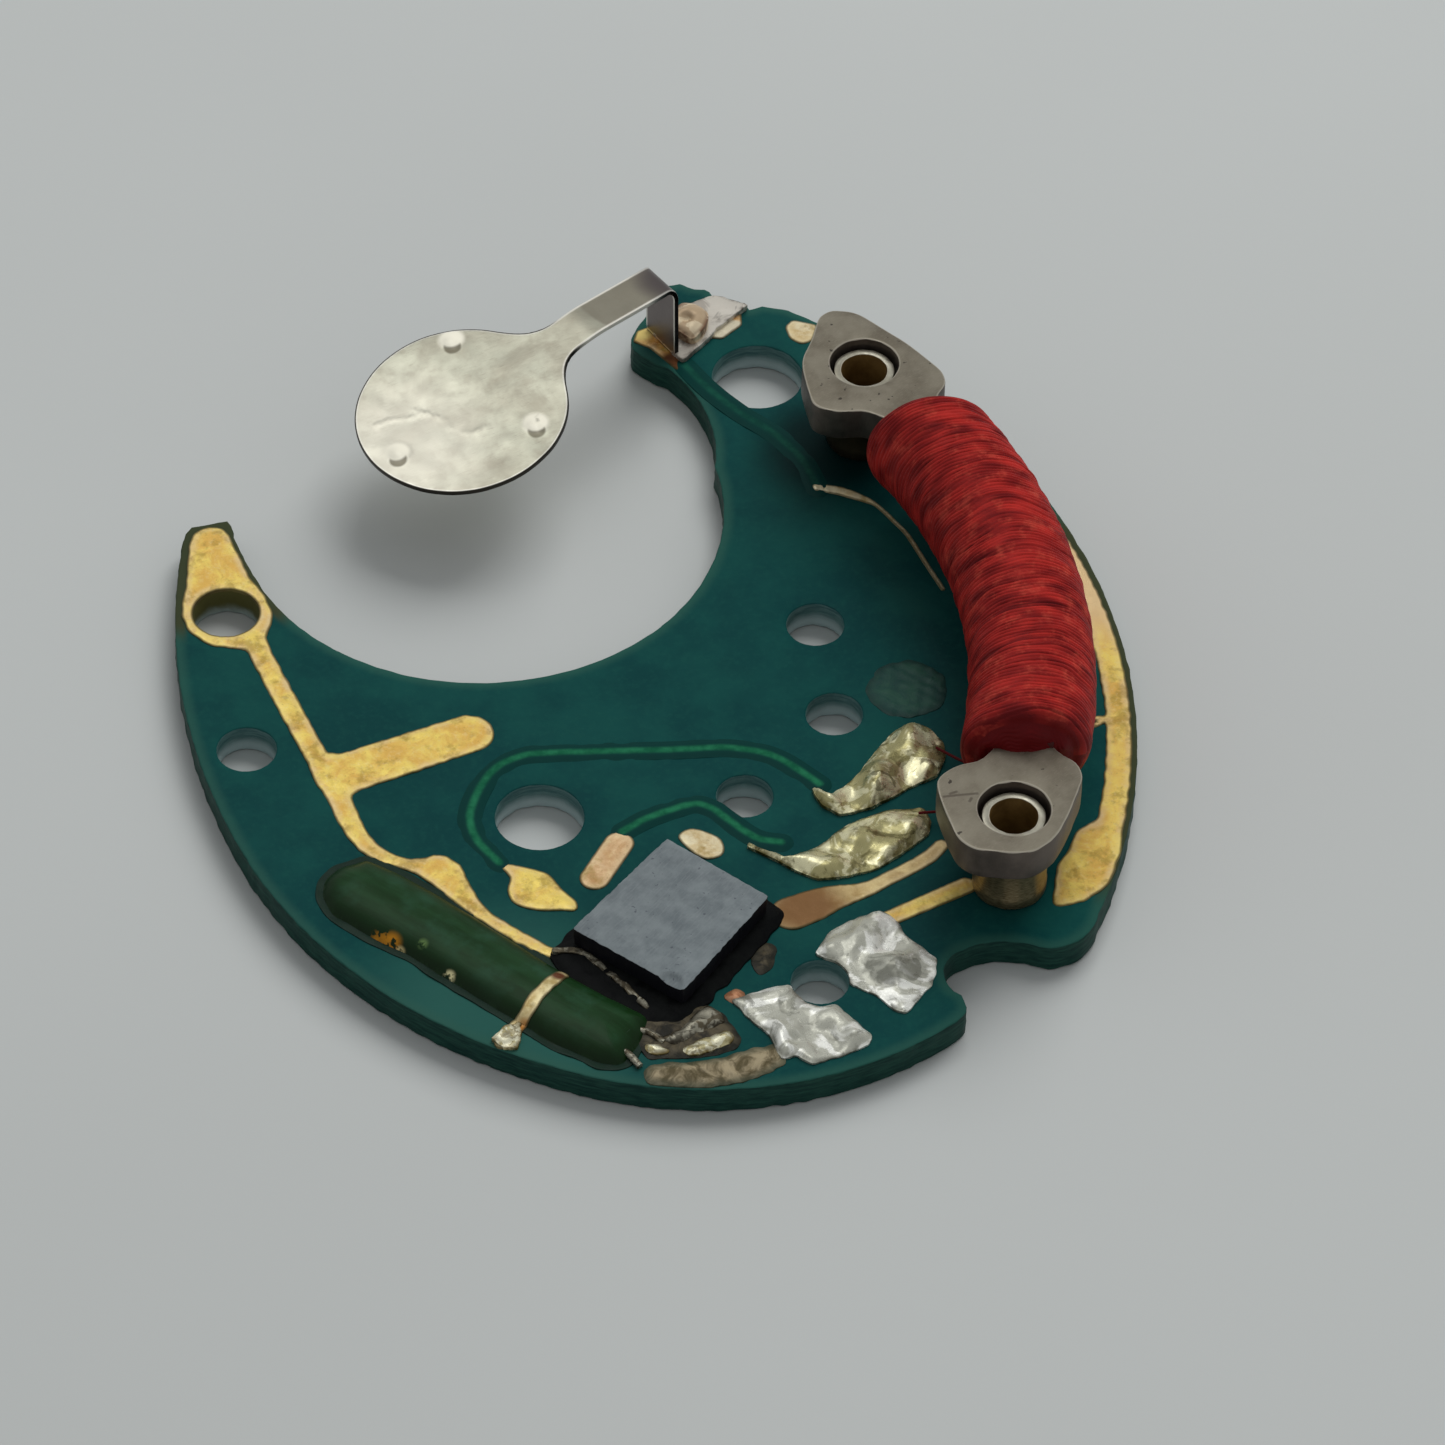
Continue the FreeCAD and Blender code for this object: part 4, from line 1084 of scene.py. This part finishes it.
def make_crystal(lacquer, groove, strap_gold, cream, lead_metal):
    """Can under lacquer in its groove, with painted shade in the dark ring round it, the earth strip over it
    and the leads at its square end.
    """
    def top(x, y, depth):
        share = np.clip(depth / (CAN_WIDTH / 2), 0, 1)
        dome = np.sqrt(1 - (1 - share) ** 2) ** 1.15
        return BOARD_TOP - 0.05 + (CAN_TOP - BOARD_TOP + 0.03) * dome + 0.004 * waves(x, y, 1.2, 91)
    piece((lacquer, "crystal_can", ["crystal_can"]), "crystal_lacquered", CAN, 0.06, 0.05, top, 0.02,
          low_bevel=0.02)

    # dark lacquer ring round the can: its dark colour is painted shade of the groove
    ring = CAN.grown(0.12).wobbled(0.015, 0.8, 95).without(CAN.grown(-0.04))
    piece((groove, "crystal_can"), "crystal_groove_lacquer", ring, 0.045, BOARD_TOP - 0.1,
          lambda x, y, d: BOARD_TOP + 0.018 + 0.004 * waves(x, y, 0.5, 96), 0.012)

    def over(x, y, depth):
        below = np.maximum(top(x, y, -CAN.distance(x, y)), BOARD_TOP)
        return below + 0.03 + 0.006 * waves(x, y, 0.25, 93)
    strap = strip([(-8.98, -0.83), (-10.38, -2.12)], [0.27, 0.31]).wobbled(0.012, 0.35, 92)
    piece((strap_gold, "gold", ["can_strap", "strap_pad"]), "crystal_earth_strap", strap, 0.035,
          lambda x, y, d: over(x, y, d) - 0.05, over, 0.012)

    foot = rounded(path("-10.6 -2.02 -10.28 -1.74 -9.95 -1.72 -10.02 -2.1 -10.13 -2.36 -10.38 -2.3"),
        0.05).wobbled(0.012, 0.2, 97)
    piece((cream, "solder", ["strap_solder"]), "crystal_strap_joint", foot, 0.035, BOARD_TOP - 0.04,
          lambda x, y, d: BOARD_TOP + 0.06 + 0.012 * waves(x, y, 0.3, 94), 0.02)

    for number, side in enumerate((1, -1)):
        start = on_can(CAN_LENGTH / 2 - 0.1, 0.28 * side)
        end = on_can(CAN_LENGTH / 2 + 0.62, 0.38 * side)
        middle = ((start[0] + end[0]) / 2 + 0.03, (start[1] + end[1]) / 2 + 0.05)
        route = [(*start, BOARD_TOP + 0.02), (*middle, BOARD_TOP + 0.07), (*end, BOARD_TOP + 0.04)]
        make_wire(f"crystal_lead_{number}", smooth(route), 0.07, lead_metal, "lead_wire",
                  () if number else ["crystal_leads"], 12)


# ---- solder ----
def facets(x, y, size, seed, count=4):
    """Broad flat facets meeting in soft creases, like solder drawn up by an iron."""
    rng = np.random.default_rng(seed)
    total = 0.0
    for _ in range(count):
        turn = rng.uniform(0, TAU)
        pitch = rng.uniform(0.6, 1.3) / size
        phase = pitch * (x * cos(turn) + y * sin(turn)) + rng.uniform(0, 1)
        total = total + np.clip(np.abs((phase % 1) * 2 - 1) * 1.5 - 0.25, 0, 1)
    return total / count


def make_solder(finishes):
    """Soldered joints: outline, height, finish, facet size and facet relief."""
    joints = {
        "coil_solder_outer": ("""-3.24 3.26 -2.88 2.92 -2.5 3.12 -2.13 3.46 -1.63 4.02 -1.29 4.35
            -0.85 4.51 -0.55 4.31 -0.39 3.89 -0.42 3.48 -0.7 3.01 -1.09 2.89 -1.6 2.66 -2.19 2.42
            -2.82 2.36 -3.11 2.66""", 0.24, "coil", 1.0, 0.42),
        "coil_solder_inner": ("""-5.06 2.3 -4.62 1.86 -4.1 1.45 -3.44 1.6 -2.7 2.09 -1.86 2.3
            -1.18 2.21 -1.1 1.85 -1.21 1.55 -1.8 1.14 -2.38 0.84 -3 0.74 -3.62 0.76 -3.99 1.07
            -4.21 1.33 -4.66 1.76""", 0.22, "coil", 0.9, 0.38),
        "probe_solder": ("""-4.1 -1.08 -3.88 -0.8 -3.66 -0.54 -3.27 -0.38 -2.62 -0.22 -2.38 -0.5
            -2.27 -0.99 -2.06 -1.32 -1.84 -1.66 -1.92 -1.98 -2.05 -2.27 -2.4 -2.6 -2.73 -2.92
            -2.95 -2.78 -3.2 -2.33 -3.6 -2.01 -3.6 -1.6""", 0.12, "bright", 1.3, 0.4),
        "supply_solder": ("""-5.94 -1.93 -5.6 -1.85 -5.15 -1.78 -4.76 -1.78 -4.54 -2.28 -4.27 -2.46
            -4 -2.42 -3.78 -2.81 -3.5 -3.36 -3.61 -3.56 -4.15 -3.72 -4.75 -3.82 -5.03 -3.54
            -5.32 -3.62 -5.41 -2.92 -5.67 -2.52 -5.8 -2.22""", 0.12, "bright", 1.3, 0.4),
    }
    probe_x, probe_y, probe_r = HOLES["probe"]
    for number, (name, (outline, height, finish, size, crease)) in enumerate(joints.items()):
        def top(x, y, depth):
            swell = 1 - np.exp(-depth / 0.18)
            body = height * (0.25 + 0.75 * swell) + 0.012 * waves(x, y, 0.5, 140 + number) * swell
            body = body + crease * (facets(x, y, size, 130 + number) - 0.45) * swell
            dent = 0.16 * np.exp(-((x + 5.00) ** 2 + (y + 3.2) ** 2) / 0.022)
            return BOARD_TOP + np.maximum(body - dent, 0.025)
        region = rounded(path(outline), 0.07).wobbled(0.01, 0.35, 100 + number)
        region = region.without(round_region((probe_x, probe_y), probe_r + 0.02))
        look = (finishes[finish], "solder", [name])
        piece(look, name + "_joint", region, 0.045, BOARD_TOP - 0.05, top, sharp_deg=50)

    # the crystal's two lead joints, drawn out towards the supply pad
    leads = {
        "upper": ("""-7.45 -2.66 -6.96 -2.44 -6.64 -2.14 -6.36 -2.04 -6.16 -2.34 -6.24 -2.52
            -6.69 -2.66 -7.17 -2.84""", 0.15, "dull"),
        "lower": ("""-7.12 -3.02 -6.81 -2.86 -6.52 -2.79 -6.16 -2.7 -6.07 -2.92 -6.3 -3.06
            -6.59 -3.14 -6.91 -3.2""", 0.14, "cream"),
        "end": ("-7.76 -2.74 -7.52 -2.79 -7.34 -2.98 -7.56 -3.04 -7.76 -2.92", 0.12, "cream"),
    }
    for number, (name, (outline, height, finish)) in enumerate(leads.items()):
        def lead_top(x, y, depth):
            ripple = 0.2 * waves(x * 0.3, y * 1.2, 0.4, 152 + number)
            return BOARD_TOP + 0.05 + height * (1 - np.exp(-depth / 0.08)) * (0.8 + ripple)
        region = loop(path(outline)).wobbled(0.012, 0.3, 150 + number)
        look = (finishes[finish], "solder", () if number else ["crystal_solder"])
        piece(look, "crystal_joint_" + name, region, 0.035, BOARD_TOP - 0.05, lead_top)


def make_films(finishes):
    """Thin flux and lacquer films that lie on the board."""
    films = {
        "flux_pool": ("""-7.82 -2.05 -7.5 -1.9 -7 -1.8 -6.51 -1.85 -6.18 -2.2 -6.02 -2.6 -5.95 -3.02
            -6.33 -3.22 -6.82 -3.22 -7.4 -3.14 -7.8 -3.02 -7.9 -2.6""", 0.05, "flux_dark"),
        "flux_band": ("""-7.85 -3.27 -7.36 -3.24 -6.83 -3.3 -6.35 -3.29 -5.81 -3.2 -5.3 -3.2
            -5.22 -3.6 -5.6 -3.86 -6.17 -3.98 -6.99 -3.98 -7.7 -3.84 -7.92 -3.62""", 0.03, "flux_film"),
        "flux_chip_side": ("-5.34 -1.04 -5.15 -0.72 -4.98 -0.6 -4.8 -0.76 -4.95 -1.23 -5.25 -1.38",
            0.03, "flux_dark"),
        "copper_corner": ("-6.05 -1.82 -5.8 -1.64 -5.62 -1.8 -5.82 -2.05", 0.05, "copper_stain"),
        "lacquer_coil_spot": ("""-1.55 5.55 -1.15 6.15 -0.5 6.25 0.05 5.75 -0.1 5 -0.6 4.72
            -1.25 4.85""", 0.012, "varnish_film"),
    }
    for number, (name, (outline, height, finish)) in enumerate(films.items()):
        def top(x, y, depth):
            return BOARD_TOP + 0.012 + height * np.clip(depth / 0.2, 0, 1) + 0.006 * waves(x, y, 0.3, 165)
        region = loop(path(outline)).wobbled(0.02, 0.4, 160 + number).within(BOARD.grown(-0.05))
        look = (finishes[finish], "board" if finish == "varnish_film" else "solder")
        piece(look, name, region, 0.055, BOARD_TOP - 0.03, top, 0.01)


# ---- sprung contact ----
def rounded_path(points, radii, step=0.02):
    """Even samples of a 3-D line whose inner corners are rounded, with their lengths along it."""
    line = [points[0]]
    for before, corner, after, radius in zip(points, points[1:], points[2:], radii):
        line += corner_curve(corner + (before - corner).normalized() * radius, corner,
                             corner + (after - corner).normalized() * radius, 12)
    line = np.array([tuple(point) for point in [*line, points[-1]]])
    length = np.concatenate([[0], np.cumsum(np.linalg.norm(np.diff(line, axis=0), axis=1))])
    even = np.arange(0, length[-1] + step, step)
    return even, np.stack([np.interp(even, length, line[:, k]) for k in range(3)], 1)


def unit(rows):
    return rows / np.linalg.norm(rows, axis=1)[:, None]


def make_contact(metal):
    """The strip is drawn flat, along u and across v, then laid on its bent line."""
    past_disc = 0.3
    ahead = (DISC_CENTRE - BEND).normalized()
    far_end = DISC_CENTRE + ahead * (DISC_R + past_disc)
    lengths, line = rounded_path([RISER_FOOT, FOLD, BEND, far_end], [0.28, 0.25])
    across = Vector((0, 0, 1)).cross(ahead).normalized()
    riser_across = np.array([0.383, -0.924, 0])
    arm_across = np.array([across.x, across.y, 0])
    fold_at = (FOLD - RISER_FOOT).length
    disc_at = lengths[-1] - past_disc - DISC_R
    share = np.clip((lengths - fold_at + 0.3) / 0.6, 0, 1)[:, None]
    side = unit(riser_across * (1 - share) + arm_across * share)
    normal = unit(np.cross(side, unit(np.gradient(line, axis=0))))
    normal *= np.sign(normal[-1][2])

    def along(u, rows):
        return [np.interp(u, lengths, rows[:, k]) for k in range(3)]

    def place(u, v, w):
        return [spot + v * out + w * up
                for spot, out, up in zip(along(u, line), along(u, side), along(u, normal))]

    arm, riser = ARM_WIDTH / 2, RISER_WIDTH / 2
    shank = polygon([(0, -riser), (fold_at - 0.25, -riser), (fold_at + 0.1, -arm), (disc_at - 1.5, -arm),
                     (disc_at - 1.5, arm), (fold_at + 0.1, arm), (fold_at - 0.25, riser), (0, riser)])
    region = shank.joined(round_region((disc_at, 0), DISC_R), 0.75)
    origin = along(disc_at, line)

    def flat(x, y):
        offset = np.array([x - origin[0], y - origin[1], 0.0])
        return disc_at + offset @ np.array(tuple(ahead)), offset @ arm_across
    pips = [flat(*pip) for pip in PIPS]
    creases = [strip([flat(*point) for point in crease], 0.0) for crease in DISC_CREASES]

    def form(u, v, depth=0):
        """Unevenness of the sheet: raised pips and slight hand bending."""
        on_disc = np.clip((u - disc_at + 2.6) / 1.0, 0, 1)
        rise = on_disc * (0.008 * waves(u, v, 2.6, 201) + 0.003 * waves(u, v, 0.8, 202))
        for pu, pv in pips:
            rise = rise + 0.06 * np.exp(-(np.hypot((u - pu) * 1.15, v - pv) / 0.2) ** 3)
        for crease in creases:
            rise = rise + 0.014 * np.exp(-(crease.distance(u, v) / 0.03) ** 2)
        return rise

    contact = piece((metal, "spring", ["contact_spring"], None), "contact_strip", region, 0.07,
                    lambda u, v, d: form(u, v) - SPRING_T, form, 0.012, low_bevel=0.012, place=place, walls=2)
    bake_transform(contact)


def make_foot(metal, lump_metal):
    """Soldered foot of the contact and the lump that holds it."""
    def top(x, y, depth):
        return TRACK_TOP + 0.11 + 0.01 * waves(x, y, 0.8, 211) + 0.03 * (facets(x, y, 0.9, 213) - 0.5)
    region = rounded(path("""-1.44 16.97 -2.27 16.38 -2.32 16.27 -3.12 15.59 -3.24 15.72 -3.68 16.8
        -2.95 17.16 -2.23 17.36 -2.08 17.4"""), 0.05).wobbled(0.008, 0.3, 214)
    piece((metal, "spring", ["contact_foot"]), "contact_foot_plate", region, 0.05, TRACK_TOP - 0.02, top,
          0.02)

    def lump_top(x, y, depth):
        out = np.hypot((x + 2.79) / 0.46, (y - 16.56) / 0.6)
        hollow = -0.16 * np.exp(-((x + 2.86) ** 2 + (y - 16.52) ** 2) / 0.016)
        dome = 0.36 * np.sqrt(np.clip(1 - out ** 2, 0, 1))
        return TRACK_TOP + 0.1 + dome + hollow + 0.012 * waves(x, y, 0.4, 212)
    region = loop(path("""-3.2 16.5 -2.95 16.98 -2.7 17.1 -2.44 16.98 -2.38 16.6 -2.58 16.18
        -2.9 16.02"""))
    piece((lump_metal, "solder", ["contact_lump"]), "contact_solder_lump", region, 0.035, TRACK_TOP,
          lump_top, 0.02)


# ---- stage ----
CAMERA_AZIMUTH = radians(-13.29)
CAMERA_ELEVATION = radians(45.94)
CAMERA_ROLL = radians(1.488)
CAMERA_DISTANCE = 0.13825
CAMERA_TARGET = Vector((-4.525, 5.299, 0.64)) * MM
CAMERA_LENS = 174.4
LIGHT_DISTANCE = 0.3


def make_floor(size=2.5):
    mesh = bpy.data.meshes.new("floor")
    corners = [(-size, -size, 0), (size, -size, 0), (size, size, 0), (-size, size, 0)]
    mesh.from_pydata(corners, [], [[0, 1, 2, 3]])
    mesh.materials.append(floor_material())
    floor = add("floor", mesh)
    floor.location = (0, 0, -0.00002)


def view_axes():
    """The camera's level right, back and up directions."""
    a, e = CAMERA_AZIMUTH, CAMERA_ELEVATION
    back = Vector((sin(a) * cos(e), -cos(a) * cos(e), sin(e)))
    right = Vector((cos(a), sin(a), 0))
    return right, back, back.cross(right)


def make_camera():
    data = bpy.data.cameras.new("camera")
    data.lens = CAMERA_LENS
    data.clip_start = 0.01
    data.clip_end = 10
    right, back, up = view_axes()
    c, s = cos(CAMERA_ROLL), sin(CAMERA_ROLL)
    turn = Matrix((right * c + up * s, up * c - right * s, back)).transposed().to_4x4()
    camera = add("camera", data)
    camera.matrix_world = Matrix.Translation(CAMERA_TARGET + back * CAMERA_DISTANCE) @ turn
    bpy.context.scene.camera = camera


def softbox(name, direction, size, power, seen):
    """A square area light aimed at the module; direction is right, away and up from it."""
    right, back, _ = view_axes()
    away = Vector((-back.x, -back.y, 0)).normalized()
    way = (right * direction[0] + away * direction[1] + Vector((0, 0, direction[2]))).normalized()
    data = bpy.data.lights.new(name, "AREA")
    data.shape = "SQUARE"
    data.size = size
    data.energy = power
    light = add(name, data)
    light.location = CAMERA_TARGET + way * LIGHT_DISTANCE
    light.rotation_mode = "QUATERNION"
    light.rotation_quaternion = way.to_track_quat("Z", "Y")
    light.visible_diffuse = seen == "diffuse"
    light.visible_glossy = seen == "glossy"


def make_light():
    world = bpy.data.worlds.new("studio")
    world.use_nodes = True
    background = world.node_tree.nodes["Background"]
    background.inputs["Color"].default_value = (0.96, 0.98, 1.0, 1)
    background.inputs["Strength"].default_value = 0.4
    bpy.context.scene.world = world
    softbox("key", (0.3, 0.75, 0.85), 0.2, 0.66, "diffuse")
    softbox("card", (-0.3, 0.42, 1.05), 0.17, 0.1, "glossy")
    softbox("glint", (-0.1, 0.1, 1.0), 0.04, 0.03, "glossy")
    bpy.context.scene.view_settings.view_transform = "Standard"


def finish_carried_nodes():
    """Finishes for the CAD nodes that stay: they sit inside the can and the coil."""
    finishes = {
        "crystal_base": plain_material("sealing_glass", (16, 40, 26), (30, 58, 40), 0.4),
        "tuning_fork": plain_material("quartz", (210, 220, 222), (232, 240, 240), 0.08,
                                      Transmission_Weight=0.8),
        "core_sleeve": plain_material("sleeve", (58, 10, 10), (84, 20, 18), 0.6),
    }
    for name, material in finishes.items():
        node = frame["nodes"][name]
        node.data.materials.clear()
        node.data.materials.append(material)


def build():
    golds = {name: gold_material("plating_" + name, *look) for name, look in {
        "gold": ((255, 226, 116), (238, 192, 96), 0.42, [((3.1, 8.6, TRACK_TOP), 1.5, 1.6, (244, 212, 158))]),
        "pink": ((240, 206, 160), (210, 164, 112), 0.46),
        "tan": ((226, 202, 144), (182, 148, 92), 0.5, [((-4.0, 0.1, TRACK_TOP), 0.3, 1.0, (140, 102, 62))]),
        "cream": ((244, 232, 196), (214, 186, 130), 0.46),
        "orange": ((224, 168, 84), (176, 110, 44), 0.42, [
            ((-1.95, 16.3, TRACK_TOP), 0.35, 0.1, (224, 214, 186)),
            ((-3.78, 16.62, TRACK_TOP), 0.1, 0.2, (240, 214, 130)),
            ((-3.3, 15.6, TRACK_TOP), 0.25, 0.2, (110, 66, 34))]),
    }.items()}
    strap = gold_material("strap_gold", (238, 224, 172), (206, 176, 106), 0.4,
                          [((*on_can(1.57, 0.42), CAN_TOP), 0.12, 0.12, (112, 62, 34)),
                           ((*on_can(1.74, -0.98), BOARD_TOP + 0.15), 0.12, 0.16, (184, 116, 30))])
    solders = {name: solder_material("solder_" + name, *look) for name, look in {
        "coil": ((250, 244, 200), (190, 182, 130), (96, 88, 44), 0.3, 0.6),
        "bright": ((255, 255, 246), (196, 196, 182), (124, 124, 112), 0.3, 0.9, 0.5),
        "dull": ((170, 166, 148), (104, 96, 78), (48, 42, 30), 0.4, 0.3),
        "cream": ((240, 236, 206), (206, 196, 150), (120, 104, 60), 0.36, 0.3),
        "lump": ((226, 208, 176), (192, 168, 136), (124, 92, 68), 0.42, 0.9, 0.4),
    }.items()}
    films = {name: varnish_material(name, *look) for name, look in {
        "flux_film": ((84, 74, 48), (164, 150, 120), (50, 58, 42), 0.35),
        "flux_dark": ((30, 28, 20), (84, 76, 58), (22, 24, 16), 0.3),
        "copper_stain": ((160, 100, 66), (222, 164, 124), (104, 72, 48), 0.2),
        "varnish_film": ((22, 62, 56), (34, 76, 62), (6, 44, 40)),
    }.items()}
    # groove ring colours: painted shade
    groove = varnish_material("groove_lacquer", (8, 32, 16), (18, 46, 24), (4, 34, 24), 0.8)
    foot_metal = solder_material("foot_metal", (214, 208, 196), (180, 173, 162), (104, 96, 88), 0.4, 0.9,
                                 0.5)

    make_board(lacquer_material())
    make_covered_traces(covered_material("covered_trace", (12, 84, 58), (34, 112, 78)),
                        covered_material("covered_trace_faint", (6, 58, 50), (18, 76, 62)))
    make_tracks(golds)
    make_core(alloy_material())
    enamel = wire_material()
    make_winding(enamel)
    make_wire_ends(enamel)
    make_tubes(tube_material())
    make_chip(chip_material(), resin_material(), solders["dull"])
    make_crystal(crystal_material(), groove, strap, solders["cream"], solders["dull"])
    make_solder(solders)
    make_films(films)
    make_contact(spring_material())
    make_foot(foot_metal, solders["lump"])
    finish_carried_nodes()
    make_floor()
    make_light()
    make_camera()


build()
bpy.context.view_layer.update()
